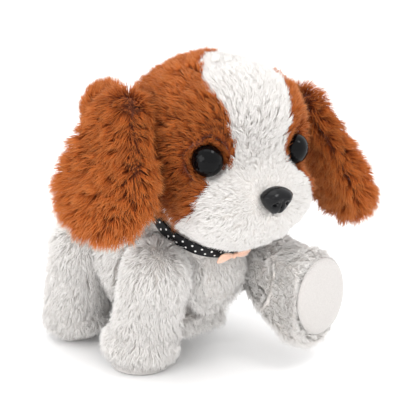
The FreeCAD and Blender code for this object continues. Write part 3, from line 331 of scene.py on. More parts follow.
def value_noise(p, scale, seed):
    """Smooth vector noise from a few fixed sine waves."""
    r = np.random.default_rng(seed)
    out = np.zeros((len(p), 3))
    for k in range(7):
        w = r.normal(size=(3, 3)) * (2 * math.pi / scale) * (0.45 + 0.22 * k)
        ph = r.uniform(0, 2 * math.pi, 3)
        out += np.sin(p @ w + ph) / 7 ** 0.5
    return out * 0.8


def pile(name, o, w, body, density, length, groom, material, lift=0.5, clump=0.5, clump_mm=3.2, width=0.5,
         keep=None, shorten=None, curl=0.25, jitter=0.18, tone=None, floor=None, wave=6.0, seed=1, edge=0.45):
    """Pile standing on a skin. groom(p, n) gives the way it is brushed; lift is how far it stands up (1 = upright)."""
    rng = np.random.default_rng(seed)
    co, no = arrays(o.data)
    tri = triangles(o.data)
    tri = tri[(w[tri].min(axis=1) > edge)]
    a, b, c = co[tri[:, 0]], co[tri[:, 1]], co[tri[:, 2]]
    area = 0.5 * np.linalg.norm(np.cross(b - a, c - a), axis=1)
    n = int(area.sum() / 100.0 * density * (1.0))
    cum = np.cumsum(area)
    pick = np.searchsorted(cum, (np.arange(n) + rng.uniform(0, 1, n)) / n * cum[-1])
    pick = np.minimum(pick, len(tri) - 1)
    r1, r2 = np.sqrt(rng.uniform(0, 1, n)), rng.uniform(0, 1, n)
    bw = np.stack([1 - r1, r1 * (1 - r2), r1 * r2], 1)
    t = tri[pick]
    p = (co[t] * bw[..., None]).sum(1)
    nn = unit((no[t] * bw[..., None]).sum(1))
    if keep is not None:
        k = keep(p, nn, rng)
        p, nn = p[k], nn[k]
    n = len(p)
    if n == 0:
        return []
    L = length * rng.uniform(0.75, 1.15, n)
    if shorten is not None:
        L = L * shorten(p)
        k = L > 0.8
        p, nn, L = p[k], nn[k], L[k]
        n = len(p)
    # clumps
    area_mm2 = area.sum() * n / max(len(pick), 1)
    nc = max(int(area_mm2 / (clump_mm ** 2)), 1)
    ci = rng.choice(n, min(nc, n), replace=False)
    kd = kdtree.KDTree(len(ci))
    for k, i in enumerate(ci):
        kd.insert(Vector(p[i]), k)
    kd.balance()
    own = np.array([kd.find(Vector(x))[1] for x in p])
    g = groom(p, nn)
    g = g - (g * nn).sum(1, keepdims=True) * nn
    gl = np.linalg.norm(g, axis=1, keepdims=True)
    g = g / np.maximum(gl, 1e-6) * np.minimum(gl, 1.0)
    nz = value_noise(p, wave, seed + 5)
    nz = nz - (nz * nn).sum(1, keepdims=True) * nn
    cj = rng.normal(size=(len(ci), 3)) * 0.30
    d = nn * lift + g * (1 - lift) + nz * curl + cj[own] * 0.6 + rng.normal(size=(n, 3)) * jitter
    # never into the skin
    dn = (d * nn).sum(1)
    d = d + nn * np.maximum(0.22 - dn, 0)[:, None]
    d = unit(d)
    d0 = unit(d + nn * 0.7)
    root = p - nn * 0.5
    m1 = root + d0 * (L * 0.38)[:, None]
    m2 = m1 + unit(d0 + d * 1.2) * (L * 0.34)[:, None]
    sag = unit(d + g * 0.35)
    tip = m2 + sag * (L * 0.30)[:, None]
    # gather the tips towards the middle of their clump
    cr = p[ci][own]
    ct, c2 = tip[ci][own], m2[ci][own]
    kk = clump * rng.uniform(0.6, 1.1, n)[:, None]
    tip = tip * (1 - kk) + kk * (ct + (p - cr) * 0.15)
    m2 = m2 * (1 - kk * 0.6) + kk * 0.6 * (c2 + (p - cr) * 0.4)
    if floor is not None:
        for q in (m1, m2, tip):
            q[:, 2] = np.maximum(q[:, 2], floor + 0.3)
    W = width * rng.uniform(0.8, 1.2, n)
    side = unit(np.cross(d, nn + rng.normal(size=(n, 3)) * 0.3))
    up = unit(np.cross(side, d))
    ang = [0.0, 2 * math.pi / 3, 4 * math.pi / 3]
    rings = []
    mid = m1 * 0.45 + m2 * 0.55
    for q, s in ((root, 0.5), (mid, 0.46)):
        for an in ang:
            rings.append(q + (side * math.cos(an) + up * math.sin(an)) * (W * s)[:, None])
    V = np.stack(rings + [tip], 1)  # n x 7 x 3
    f = [(0, 2, 1)]
    for r in range(1):
        for k in range(3):
            x, y = 3 * r + k, 3 * r + (k + 1) % 3
            f += [(x, y, y + 3), (x, y + 3, x + 3)]
    f += [(3 + k, 3 + (k + 1) % 3, 6) for k in range(3)]
    f = np.array(f)
    ct_tone = rng.uniform(0, 1, len(ci))[own]
    u0 = 0.5 * rng.uniform(0, 1, n) + 0.3 * ct_tone + 0.2 * np.clip(0.5 + 0.5 * value_noise(p, wave * 3, seed + 9)[:, 0], 0, 1)
    if tone is not None:
        u0 = u0 * tone(p)
    u0 = np.clip(u0, 0.03, 0.97)
    vv = np.array([0.02, 0.02, 0.02, 0.58, 0.58, 0.58, 0.98])
    du = np.array([-0.012, 0, 0.012] * 2 + [0.0])
    per = MAX_TRIS // len(f)
    outs = []
    order = np.argsort(p @ np.array([0.3, 1.0, 0.2]))
    pieces = max(1, math.ceil(n / per))
    for s in range(pieces):
        sel = order[s * n // pieces:(s + 1) * n // pieces]
        k = len(sel)
        me = bpy.data.meshes.new("%s_%d" % (name, s + 1))
        v = V[sel].reshape(-1, 3) * 0.001
        ff = (f[None] + (np.arange(k) * 7)[:, None, None]).reshape(-1, 3)
        me.vertices.add(len(v))
        me.vertices.foreach_set("co", v.ravel())
        me.loops.add(len(ff) * 3)
        me.loops.foreach_set("vertex_index", ff.ravel().astype(np.int32))
        me.polygons.add(len(ff))
        me.polygons.foreach_set("loop_start", np.arange(0, len(ff) * 3, 3, dtype=np.int32))
        me.polygons.foreach_set("use_smooth", np.ones(len(ff), bool))
        me.update(calc_edges=True)
        uvl = me.uv_layers.new(name="OFBake")
        uu = (u0[sel][:, None] + du[None]).reshape(-1)
        vf = np.tile(vv, k)
        li = ff.ravel()
        uvl.data.foreach_set("uv", np.stack([uu[li], vf[li]], 1).ravel())
        me.materials.append(material)
        ob = bpy.data.objects.new("%s_%d" % (name, s + 1), me)
        bpy.context.scene.collection.objects.link(ob)
        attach(ob, body)
        outs.append(ob)
    return outs


# ------------------------------------------------------------------ head
def front_half_width(z):
    zs = np.array([60, 84, 88, 97, 103, 108, 113, 118, 125, 133, 140, 145, 150, 162])
    ws = np.array([58, 38, 32.5, 29.5, 25.0, 18.8, 14.0, 13.2, 14.6, 16.2, 18, 19.5, 20, 20])
    return np.interp(z, zs, ws)


def head_white(pl):
    """White of the face in head coordinates: muzzle, cheeks, throat, and the blaze over the crown."""
    nz = value_noise(pl, 5.0, 77)
    z = pl[:, 2] + nz[:, 0] * 0.5
    lean = np.interp(pl[:, 1], [-68, -58, -50, -40, -30], [0, 2.5, 6, 11, 15]) * (pl[:, 2] > 122)
    x = np.abs(pl[:, 0] - lean + nz[:, 1] * 0.5)
    y = pl[:, 1] + nz[:, 2] * 0.5
    crown = np.interp(y, [-60, -48, -40, -33, -29], [30, 19, 16, 10, 0])
    return ((x < np.minimum(front_half_width(z), crown)) & (y < -29) & (z > 110)) | ((x < front_half_width(z)) & (y < -46)) | (z < 79)


NOSE = np.array([0.0, -91.5, 98.0])
EYES = [np.array([s * 25.0, -72.0, 115.0]) for s in (-1, 1)]
SKULL = np.array([0.0, -40.0, 117.0])


def head_groom(p, n):
    pl, nl = row_to_head(p), n @ RH
    r = pl - NOSE
    d = unit(r)
    side = np.clip((pl[:, 1] + 78) / 25, 0, 1)[:, None]
    d = d + side * np.array([0, 0.25, -0.75]) * (pl[:, 2:3] < 150)
    top = np.clip((pl[:, 2] - 140) / 12, 0, 1)[:, None] * side
    d = d + top * np.array([0, 0.8, 0.0])
    for e in EYES:
        q = pl - e
        dist = np.linalg.norm(q, axis=1, keepdims=True)
        d = d + unit(q) * 1.3 * np.exp(-np.maximum(dist - 8.5, 0) / 3.5)
    return unit(d) @ RH.T


def clear_of_face(pl, eye=6.2, nose=4.5):
    k = np.ones(len(pl), bool)
    for e in EYES:
        ax = unit(e - SKULL)
        q = pl - e
        off = q - (q @ ax)[:, None] * ax
        k &= ~((np.linalg.norm(off, axis=1) < eye) & ((q @ ax) > -12))
    q = pl - NOSE
    k &= ~((np.hypot(q[:, 0], q[:, 2]) < nose) & (q[:, 1] < 12))
    return k


def head_short(p):
    pl = row_to_head(p)
    s = np.ones(len(p))
    q = np.linalg.norm(pl - NOSE, axis=1)
    s *= np.interp(q, [6, 14, 30], [0.45, 0.65, 1.0])
    for e in EYES:
        s *= np.interp(np.linalg.norm(pl - e, axis=1), [8, 12, 18], [0.5, 0.75, 1.0])
    s *= np.interp(pl[:, 2], [140, 154], [1.0, 0.72])
    s *= 1 - 0.32 * np.clip((92 - pl[:, 2]) / 10, 0, 1) * (pl[:, 1] < -50)
    return s


def head_painted_shade_tone(p):
    """Painted shade and painted light in the brown pile: darker low on the head in the hollow between the eye and the
    ear, lighter towards the crown.
    """
    pl = row_to_head(p)
    return np.interp(pl[:, 2], [100, 128, 148], [0.5, 0.6, 1.1])


def lift_chin(co, w):
    pl = row_to_head(co)
    k = np.clip((90 - pl[:, 2]) / 12, 0, 1) * np.clip((-48 - pl[:, 1]) / 12, 0, 1) * (w > 0.3)
    return co + np.array([0, 0, 2.4]) * k[:, None]


head, hw = skin("head_skin", "head_plush", voxel=1.5, smooth=8, shrink=3.0, warp=lift_chin)
me = head.data
co_h, no_h = arrays(me)
cent = np.empty(len(me.polygons) * 3)
me.polygons.foreach_get("center", cent)
white_face = head_white(row_to_head(cent.reshape(-1, 3) * 1000))
finish_skin(head, "head", "head_plush", [M["brown_base"], M["white_base"]])
me.polygons.foreach_set("material_index", white_face.astype(np.int32))
pile("head_pile_white", head, hw, "head", 600, 6.0, head_groom, M["white_pile"], lift=0.27, clump=0.05, clump_mm=2.4, width=0.215, jitter=0.075, curl=0.06, wave=14.0,
     keep=lambda p, n, r: head_white(row_to_head(p)) & clear_of_face(row_to_head(p)), shorten=head_short, seed=11)
# the brown pile's tone carries painted shade low on the head and painted light over the crown
pile("head_pile_brown", head, hw, "head", 330, 8.2, head_groom, M["brown_pile"], lift=0.42, clump=0.32, clump_mm=3.0, width=0.31, jitter=0.13, wave=8.0,
     keep=lambda p, n, r: ~head_white(row_to_head(p)) & clear_of_face(row_to_head(p)), shorten=head_short, curl=0.3, seed=12, tone=head_painted_shade_tone)

# ------------------------------------------------------------------ ears
for nm, sgn, phi, tau, along, drop, r1_, r2_, za_, zb_ in (("ear_right", -1, 22.0, 18.0, 18.0, 20.0, 14.5, 23.0, 18.0, -13.0),
                                                      ("ear_left", 1, 7.0, 27.0, 3.0, 40.0, 14.5, 22.5, 23.0, -16.0)):
    p_, q_ = math.radians(phi), math.radians(tau)
    nrm = np.array([sgn * math.cos(p_) * math.cos(q_), -math.sin(p_) * math.cos(q_), math.sin(q_)])
    bck = np.array([sgn * math.sin(p_), math.cos(p_), 0.0])
    tan = np.cross(nrm, bck)
    tan = tan * np.sign(tan[2])
    sup = math.sqrt((46 * nrm[0]) ** 2 + (42 * nrm[1]) ** 2 + (43 * nrm[2]) ** 2) + 0.6
    mid_ = SKULL + nrm * sup + bck * along - tan * drop

    def ear_groom(p, n, mid=mid_, nrm=nrm, tan=tan, bck=bck):
        pl = row_to_head(p) - mid
        y = pl @ bck
        h = pl @ tan
        d = -tan[None] * np.interp(h, [-40, 0, 40], [1.0, 0.8, 0.5])[:, None] + bck * (y / 26.0 + 0.25)[:, None] + nrm * 0.1
        return unit(d) @ RH.T

    def ear_len(p, mid=mid_, tan=tan):
        h = (row_to_head(p) - mid) @ tan
        return np.interp(h, [-44, -20, 20, 44], [1.1, 1.05, 0.95, 0.85])

    def ear_tone(p, mid=mid_, tan=tan):
        h = (row_to_head(p) - mid) @ tan
        return np.interp(h, [-34, -5, 30], [2.6, 1.5, 0.7])

    def ear_full(co, w, mid=mid_, tan=tan, bck=bck, sgn=sgn):
        q = row_to_head(co) - mid
        y, h = q @ bck, q @ tan
        low = np.clip((26 - h) / 20, 0, 1)
        back_, front_ = (4.0, 0.5) if sgn < 0 else (2.5, 3.0)
        mv = bck[None] * (np.clip(y / 18, 0, 1) * back_ - np.clip(-y / 18, 0, 1) * front_)[:, None] * low[:, None]
        return co + mv @ RH.T

    ear, ew = skin(nm + "_skin", nm, voxel=1.4, smooth=20, shrink=2.6, warp=ear_full)
    finish_skin(ear, nm, nm, M["brown_base"])
    pile(nm + "_pile", ear, ew, nm, 330, 10.0, ear_groom, M["brown_pile"], lift=0.46, clump=0.36, clump_mm=3.2, curl=0.3,
         jitter=0.14, width=0.31, tone=ear_tone, shorten=ear_len, wave=8.0, seed=21 if sgn < 0 else 22)

# ------------------------------------------------------------------ body
TORSO_C, TORSO_R = np.array([0, 4, 51.0]), np.array([38, 52, 38.0])
NECK_C = np.array([0, -26.0, 74.5])
NV = np.array([0, -math.sin(math.radians(33)), math.cos(math.radians(33))])


def collar_gap(p):
    q = (p - SH) - NECK_C
    h = q @ NV
    rad = np.linalg.norm(q - h[:, None] * NV, axis=1)
    return h, rad


def body_short(p):
    h, rad = collar_gap(p)
    near = (rad < 34)
    s = np.where(near, np.interp(np.abs(h - 1.5), [3.4, 6.5, 12.0], [0.0, 0.5, 1.0]), 1.0)
    q = p - SH
    slit = (np.abs(q[:, 0]) < 9) & (q[:, 1] > 30) & (q[:, 2] > 38) & (q[:, 2] < 86)
    return s * np.interp(p[:, 2], [12, 20], [0.9, 1.0]) * np.where(slit, 1.25, 1.0)


def body_groom(p, n):
    q = p - SH
    d = np.tile(np.array([0, 0.35, -1.0]), (len(p), 1))
    top = np.clip((q[:, 2] - 75) / 12, 0, 1)[:, None]
    d = d * (1 - top) + top * np.array([0, 1.0, 0.0])
    low = np.clip((20 - q[:, 2]) / 6, 0, 1)[:, None]
    d = d * (1 - low) + low * np.array([0, 1.0, 0.0])
    slit = ((np.abs(q[:, 0]) < 9) & (q[:, 1] > 30) & (q[:, 2] > 38) & (q[:, 2] < 86))[:, None]
    d = d + slit * np.stack([-np.sign(q[:, 0]) * 1.6, 0 * q[:, 0], 0 * q[:, 0]], 1)
    return unit(d)


torso, tw = skin("body_skin", "body_plush", voxel=1.4, smooth=3, shrink=2.2)
finish_skin(torso, "root", "body_plush", M["white_base"])
pile("body_pile", torso, tw, "root", 400, 6.5, body_groom, M["white_pile"], lift=0.3, clump=0.07, clump_mm=2.6, width=0.26, jitter=0.085, curl=0.07, wave=14.0,
     shorten=body_short, seed=31, edge=0.25)

flap, fw = skin("belly_flap_skin", "belly_flap", voxel=0.8, smooth=2, shrink=0.5)
finish_skin(flap, "belly_flap", "belly_flap", M["white_base"])
pile("belly_flap_pile", flap, fw, "belly_flap", 240, 4.5, body_groom, M["white_pile"], lift=0.35, clump=0.25, clump_mm=2.6, width=0.36,
     seed=32)

# ------------------------------------------------------------------ legs
for k, (nm, turn) in enumerate((("front_left", -90.0), ("front_right", 0.0), ("rear_left", -10.0), ("rear_right", 10.0))):
    a_ = math.radians(turn)
    down = np.array([0, math.sin(a_), -math.cos(a_)])
    hip = np.array([0, -28.0 if nm.startswith("front") else 32.0, 50.0]) + SH

    def leg_groom(p, n, down=down):
        return unit(np.tile(down, (len(p), 1)) + n * 0.0)

    def leg_short(p, down=down, hip=hip):
        h = (p - hip) @ down
        return np.interp(h, [36, 47, 52], [1.0, 0.85, 0.8]) * np.interp(np.abs(p[:, 0] - hip[0]), [16, 21], [0.5, 1.0])

    sgn_ = 1 if nm.endswith("left") else -1

    def paw_full(co, w, down=down, hip=hip, sgn_=sgn_):
        q = co - hip
        h = q @ down
        off0 = q - h[:, None] * down
        k = np.clip((h - 4) / 24, 0, 1)
        k = k * k * (3 - 2 * k)
        kz = np.where(off0[:, 2] < 0, 0.34, 0.14)
        axis = hip + np.array([22.0 * sgn_, 0, 0]) * 0 + down[None] * h[:, None]
        axis = axis + np.array([(32.0 if sgn_ > 0 else -32.0) - 0.0, 0, 0])
        off = co - axis
        off = off - (off @ down)[:, None] * down
        grow = np.where(off[:, 0] * sgn_ < 0, 0.16, 0.14)
        return co + off * np.stack([grow * k, 0.17 * k, kz * k], 1) + down[None] * (4.5 * np.clip((h - 14) / 22, 0, 1))[:, None]

    leg, lw = skin(nm + "_leg_skin", nm + "_leg_plush", voxel=1.4, smooth=4, shrink=2.6, warp=paw_full if nm == "front_left" else None)
    finish_skin(leg, nm + "_leg", nm + "_leg_plush", M["white_base"])
    pile(nm + "_leg_pile", leg, lw, nm + "_leg", 400, 6.5, leg_groom, M["white_pile"], lift=0.3, clump=0.07, clump_mm=2.6, width=0.26, jitter=0.085, curl=0.07, wave=14.0,
         shorten=leg_short, floor=None if nm == "front_left" else 0.0, seed=41 + k)

    cs_ = arrays(frame["nodes"][nm + "_sole_pad"].data)[0]
    if nm == "front_left":
        # round padded sole, sewn into the fuller raised paw
        mid2 = (cs_.max(0) + cs_.min(0)) / 2 + np.array([0.2, 0, 0])
        e1, e2 = np.array([1.0, 0, 0]), np.cross(down, np.array([1.0, 0, 0]))
        pts, fcs, seg = [], [], 96
        prof = [(0.0, 1.7), (0.3, 1.65), (0.6, 1.4), (0.82, 0.9), (0.94, 0.2), (1.0, -0.9), (0.97, -2.0), (0.0, -2.0)]
        pts.append(mid2 + down * (prof[0][1] + 4.3))
        for rr, hh in prof[1:-1]:
            for i in range(seg):
                a2 = 2 * math.pi * i / seg
                pts.append(mid2 + np.array([0, 0, -1.5]) + (e1 * math.cos(a2) * 17.0 + e2 * math.sin(a2) * 20.0) * rr + down * (hh + 4.3))
        pts.append(mid2 + down * (prof[-1][1] + 4.3))
        for i in range(seg):
            fcs.append((0, 1 + (i + 1) % seg, 1 + i))
            for r_ in range(len(prof) - 3):
                b0_ = 1 + r_ * seg
                fcs.append((b0_ + i, b0_ + (i + 1) % seg, b0_ + seg + (i + 1) % seg, b0_ + seg + i))
            b0_ = 1 + (len(prof) - 3) * seg
            fcs.append((b0_ + i, b0_ + (i + 1) % seg, len(pts) - 1))
        sole = new_mesh_object(nm + "_sole", np.array(pts), fcs, [M["sole_fabric"]])
        bm_ = bmesh.new()
        bm_.from_mesh(sole.data)
        bmesh.ops.recalc_face_normals(bm_, faces=bm_.faces)
        bm_.to_mesh(sole.data)
        bm_.free()
    else:
        me_ = frame["nodes"][nm + "_sole_pad"].data.copy()
        sole = bpy.data.objects.new(nm + "_sole", me_)
        bpy.context.scene.collection.objects.link(sole)
        mid2 = (cs_.max(0) + cs_.min(0)) / 2
        q = cs_ - mid2
        along_ = (q @ down)[:, None] * down
        cs_ = mid2 + along_ + (q - along_) * 0.86
        me_.vertices.foreach_set("co", (cs_ * 0.001).ravel())
        me_.update()
        me_.materials.clear()
        me_.materials.append(M["sole_fabric"])
    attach(sole, nm + "_leg")
    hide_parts(nm + "_sole_pad")

hip_fl = np.array([0, -28.0, 50.0]) + SH
# cloth over the hub of the raised leg, where the sleeve opens towards the body
gus, gw = skin("front_left_leg_gusset", "front_left_leg_frame", voxel=1.0, smooth=3, shrink=-0.9)
gus.data.materials.clear()
gus.data.materials.append(M["white_base"])
gus.data.polygons.foreach_set("use_smooth", [True] * len(gus.data.polygons))
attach(gus, "front_left_leg")
pile("front_left_leg_gusset_pile", gus, gw, "front_left_leg", 330, 5.0, lambda p, n: np.tile(np.array([0.0, -1.0, -0.3]), (len(p), 1)),
     M["white_pile"], lift=0.35, clump=0.07, width=0.29, jitter=0.09, curl=0.08, wave=14.0, seed=45,
     keep=lambda p, n, r: (p[:, 1] < hip_fl[1] - 3) & (p[:, 0] < 26))

# eyes sit deep in the pile
for nm in ("eye_left", "eye_right"):
    me_ = frame["nodes"][nm].data.copy()
    eye = bpy.data.objects.new(nm + "_bead", me_)
    bpy.context.scene.collection.objects.link(eye)
    cs_ = arrays(me_)[0]
    mid2 = head_to_row(EYES[0 if nm.endswith("right") else 1])
    cs_ = mid2 + (cs_ - mid2) * 0.9
    me_.vertices.foreach_set("co", (cs_ * 0.001).ravel())
    me_.polygons.foreach_set("use_smooth", [True] * len(me_.polygons))
    me_.update()
    me_.materials.clear()
    me_.materials.append(M["black_gloss"])
    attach(eye, "head")
    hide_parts(nm)

# ------------------------------------------------------------------ tail
tail, tlw = skin("tail_skin", "tail_plush", voxel=1.3, smooth=6, shrink=3.0)
finish_skin(tail, "tail", "tail_plush", M["brown_base"])
def tail_groom(p, n):
    k = np.clip((p[:, 2] - 79) / 8, 0, 1)[:, None]
    return unit(k * np.array([0.1, 0.35, 1.0]) + (1 - k) * np.array([0.0, 0.15, -1.0]))


pile("tail_pile", tail, tlw, "tail", 300, 9.0, tail_groom, M["brown_pile"],
     shorten=lambda p: np.interp(p[:, 2], [76, 86], [1.45, 1.0]), lift=0.42, clump=0.5, clump_mm=3.6, curl=0.38, width=0.36, wave=8.0, seed=51)


# ------------------------------------------------------------------ nose
def nose_mesh():
    nu_, nv_ = 96, 64
    pts, faces = [], []
    for j in range(1, nv_):
        th = math.pi * j / nv_
        for i in range(nu_):
            ph = 2 * math.pi * i / nu_
            pts.append((math.sin(th) * math.cos(ph), -math.cos(th), math.sin(th) * math.sin(ph)))
    pts = np.array(pts + [(0, -1, 0), (0, 1, 0)])
    front, back = len(pts) - 2, len(pts) - 1
    for j in range(nv_ - 2):
        for i in range(nu_):
            a0, b0 = j * nu_ + i, j * nu_ + (i + 1) % nu_
            faces.append((a0, b0, b0 + nu_, a0 + nu_))
    for i in range(nu_):
        faces.append((front, (i + 1) % nu_, i))
        faces.append((back, (nv_ - 2) * nu_ + i, (nv_ - 2) * nu_ + (i + 1) % nu_))
    x, y, z = pts[:, 0].copy(), pts[:, 1].copy(), pts[:, 2].copy()
    # rounded triangle: wide and flat above, narrow below
    wide = np.interp(z, [-1, -0.4, 0.3, 1], [0.62, 0.80, 1.06, 0.98])
    X = x * 8.1 * wide
    Z = np.where(z > 0, np.sign(z) * np.abs(z) ** 0.92 * 5.9, z * 7.2)
    Y = y * 5.4 - 0.8 * np.exp(-((z - 0.45) / 0.45) ** 2) * (y < 0)
    f = (y < 0.15)
    # wings beside the nostrils
    for s in (-1, 1):
        Y -= 0.9 * np.exp(-(((X - s * 4.2) / 2.4) ** 2 + ((Z - 0.2) / 2.6) ** 2)) * f
        g = np.exp(-(((X - s * 3.3) / 1.25) ** 2 + ((Z + 0.6 + 0.25 * np.abs(X)) / 0.95) ** 2))
        Y += 2.3 * g * f
    # groove below and the cleft of the lip
    Y += 1.5 * np.exp(-(X / 0.6) ** 2) * np.clip((1.2 - Z) / 4, 0, 1) * f
    Z += 0.9 * np.exp(-(X / 0.9) ** 2) * np.clip(-(Z + 4) / 3, 0, 1)
    return np.stack([X, Y, Z], 1), faces


lo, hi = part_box("nose")
nco, nfaces = nose_mesh()
ny = NOSE[1]
nose = new_mesh_object("nose_moulding", head_to_row(nco + np.array([0, -91.0, 98.0])), nfaces, [M["nose_gloss"]])
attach(nose, "head")
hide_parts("nose")


# ------------------------------------------------------------------ collar band and bow
def collar_band():
    segs, prof = 220, []
    w_, t_ = 2.95, 0.42
    for k in range(9):
        v = -1 + 2 * k / 8
        prof.append((t_ + 0.25 * (1 - v * v), v * w_))
    inner = [(-t_, v) for v in (w_, w_ / 3, -w_ / 3, -w_)]
    full = prof + inner
    X = np.array([1.0, 0, 0])
    Yv = np.cross(NV, X)
    pts, uvs = [], []
    R0 = 27.2
    for i in range(segs):
        a = 2 * math.pi * i / segs
        rd = math.cos(a) * X + math.sin(a) * Yv
        wob = 0.12 * math.sin(3 * a + 0.7) + 0.08 * math.sin(7 * a)
        for (r, h) in full:
            pts.append(NECK_C + rd * (R0 + r + 0.12 * math.sin(9 * a + h)) + NV * (h + wob + 1.5) + SH)
    n = len(full)
    faces = []
    for i in range(segs):
        j = (i + 1) % segs
        for k in range(n):
            l = (k + 1) % n
            faces.append((i * n + k, j * n + k, j * n + l, i * n + l))
    o = new_mesh_object("collar_band", np.array(pts), faces, [M["collar_ribbon"]])
    me = o.data
    uvl = me.uv_layers.new(name="OFBake")
    for p_ in me.polygons:
        for li, vi in zip(p_.loop_indices, p_.vertices):
            i, k = divmod(vi, n)
            u = i / segs
            if i == 0 and max(p_.vertices) // n == segs - 1:
                u = 1.0
            v = (full[k][1] / w_ + 1) / 2
            if k >= len(prof):
                v = 0.0
            uvl.data[li].uv = (u, v)
    return o


band = collar_band()
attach(band, "root")
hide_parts("collar_ribbon")


def bow_piece(name, pts, faces):
    o = new_mesh_object(name, pts, faces, [M["bow_satin"]])
    md = o.modifiers.new("round", "SUBSURF")
    md.levels = md.render_levels = 2
    bpy.context.view_layer.update()
    me2 = bpy.data.meshes.new_from_object(o.evaluated_get(bpy.context.evaluated_depsgraph_get()))
    o.modifiers.clear()
    o.data = me2
    me2.polygons.foreach_set("use_smooth", [True] * len(me2.polygons))
    return o


lo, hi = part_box("collar_bow")
bc = (np.array(lo) + np.array(hi)) * 500.0
bX = np.array([1.0, 0, 0])
bOut = -np.array([0, math.cos(math.radians(33)), math.sin(math.radians(33))])
bUp = NV
half = (hi[0] - lo[0]) * 500.0


def loop_bow():
    """Two soft loops and a knot, each a closed solid."""
    objs = []
    for s in (-1, 1):
        pts, faces = [], []
        N_, K = 14, 12
        for i in range(N_):
            tt = i / (N_ - 1)
            x = s * (0.8 + tt * (half - 0.8))
            hgt = 0.9 + 2.6 * math.sin(min(tt * 1.25, 1.0) * math.pi / 2) - 0.5 * (tt > 0.9)
            thk = 0.55 + 0.75 * math.sin(math.pi * min(tt * 1.05, 1.0)) + 0.1
            if i == N_ - 1:
                hgt, thk = hgt * 0.8, 0.35
            for k in range(K):
                a = 2 * math.pi * k / K
                wv = 0.22 * math.sin(5 * a) * tt
                pts.append(bc + bX * x + bUp * (math.cos(a) * hgt) + bOut * (math.sin(a) * thk + wv + 0.2))
        faces += [tuple(range(K))[::-1] if s > 0 else tuple(range(K))]
        for i in range(N_ - 1):
            for k in range(K):
                l = (k + 1) % K
                q = (i * K + k, i * K + l, (i + 1) * K + l, (i + 1) * K + k)
                faces.append(q if s > 0 else q[::-1])
        lastr = tuple((N_ - 1) * K + k for k in range(K))
        faces.append(lastr if s > 0 else lastr[::-1])
        objs.append(bow_piece("collar_bow_loop_%s" % ("left" if s > 0 else "right"), np.array(pts), faces))
    pts, faces = [], []
    N_, K = 7, 10
    for i in range(N_):
        h = -1.7 + 3.4 * i / (N_ - 1)
        r = 1.5 * math.sqrt(max(1 - (h / 2.2) ** 2, 0.15))
        for k in range(K):
            a = 2 * math.pi * k / K
            pts.append(bc + bUp * h + bX * (math.cos(a) * r) + bOut * (math.sin(a) * r * 0.8 + 0.5))
    faces.append(tuple(range(K))[::-1])
    for i in range(N_ - 1):
        for k in range(K):
            l = (k + 1) % K
            faces.append((i * K + k, i * K + l, (i + 1) * K + l, (i + 1) * K + k))
    faces.append(tuple((N_ - 1) * K + k for k in range(K)))
    objs.append(bow_piece("collar_bow_knot", np.array(pts), faces))
    return objs


bows = loop_bow()
for o in bows:
    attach(o, "root")
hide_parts("collar_bow")

# ------------------------------------------------------------------ finishes of the CAD nodes
slots = {}
for key, val in (frame["record"].get("materials", {}) or {}).items() if isinstance(frame["record"].get("materials"), dict) else []:
    slots[key] = val
GROUPS = {
    "white_plastic": ["gearbox_", "battery_tray", "battery_door", "skull_", "neck_post", "neck_fork", "tail_lever", "_leg_frame"],
    "white_acetal": ["centre_gear", "compound_gear", "motor_pinion", "_crank_gear", "washer", "acetal"],
    "crank_plastic": ["_crank_shaft"],
    "steel": ["case_screws", "gear_pins", "_axle", "door_screw", "neck_pin", "tail_pin", "battery_contacts", "motor"],
    "cell_case": ["aa_cell"],
    "board": ["circuit_board"],
    "speaker_black": ["speaker"],
    "switch_black": ["switch"],
    "sole_fabric": ["sole_pad"],
    "black_gloss": ["eye_left", "eye_right", "nose"],
    "hook_tape": ["hook_tape"],
    "collar_ribbon": ["collar_ribbon"],
    "bow_satin": ["collar_bow"],
    "brown_base": ["ear_", "tail_plush"],
    "white_base": ["_plush", "belly_flap"],
}
order_ = ["black_gloss", "hook_tape", "sole_fabric", "white_plastic", "crank_plastic", "cell_case", "board", "speaker_black", "switch_black",
          "collar_ribbon", "bow_satin", "white_acetal", "brown_base", "white_base", "steel"]
for nm, o in frame["nodes"].items():
    chosen = None
    for g_ in order_:
        if any(k in nm for k in GROUPS[g_]) and not (g_ == "black_gloss" and "washer" in nm):
            chosen = g_
            break
    chosen = chosen or "white_plastic"
    m = M["white_base"] if chosen == "collar_ribbon" else M[chosen]
    if not o.material_slots:
        o.data.materials.append(m)
    for s in o.material_slots:
        s.material = m

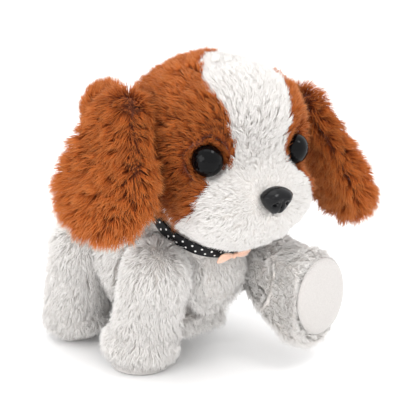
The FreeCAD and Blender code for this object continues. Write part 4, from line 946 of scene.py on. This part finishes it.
# ------------------------------------------------------------------ studio
bpy.ops.mesh.primitive_plane_add(size=6, location=(0, 0, -0.0005))
floor = bpy.context.object
floor.name = "studio_floor"
fm, fnt, fb = mat("studio_floor", 0.6, 0, (0.93, 0.93, 0.93))
floor.data.materials.append(fm)

world = bpy.data.worlds.new("studio")
bpy.context.scene.world = world
world.use_nodes = True
world.node_tree.nodes["Background"].inputs[0].default_value = (1, 1, 1, 1)
world.node_tree.nodes["Background"].inputs[1].default_value = 1.47

TARGET = (np.array([0, -10, 78.0]) + SH) * 0.001
AZ, EL = math.radians(-42), math.radians(15)
BACK = np.array([math.sin(AZ) * math.cos(EL), -math.cos(AZ) * math.cos(EL), math.sin(EL)])
FWD = -BACK
RIGHT = unit(np.cross(FWD, [0, 0, 1.0]))
UP = np.cross(RIGHT, FWD)


def look(obj, at):
    d = Vector(at) - obj.location
    obj.rotation_euler = d.to_track_quat("-Z", "Y").to_euler()


def area(name, pos, size, power):
    l = bpy.data.lights.new(name, "AREA")
    l.shape = "DISK"
    l.size = size
    l.energy = power
    o = bpy.data.objects.new(name, l)
    o.location = Vector(TARGET + np.array(pos))
    bpy.context.scene.collection.objects.link(o)
    look(o, TARGET)
    return o


area("key", RIGHT * 0.45 + UP * 0.75 + BACK * 0.55, 0.35, 2.0)
area("fill", -RIGHT * 0.6 + UP * 0.08 + BACK * 0.75, 0.6, 2.6)
area("top", np.array([0, 0, 1.0]), 0.7, 1.2)
area("catch", BACK * 0.55 + UP * 0.3 + RIGHT * 0.06, 0.022, 0.2)

cam = bpy.data.cameras.new("camera")
cam.sensor_width = 36
cam.sensor_fit = "HORIZONTAL"
cam.lens = 1164 / 416 * 36
cam.shift_x = 30 / 416
cam.shift_y = -5 / 416
cam.clip_start, cam.clip_end = 0.01, 20
cam.dof.use_dof = False
co_ = bpy.data.objects.new("camera", cam)
co_.location = Vector(TARGET + BACK * 0.600)
bpy.context.scene.collection.objects.link(co_)
look(co_, TARGET)
bpy.context.scene.camera = co_
bpy.context.scene.view_settings.view_transform = "Standard"
bpy.context.scene.view_settings.look = "None"
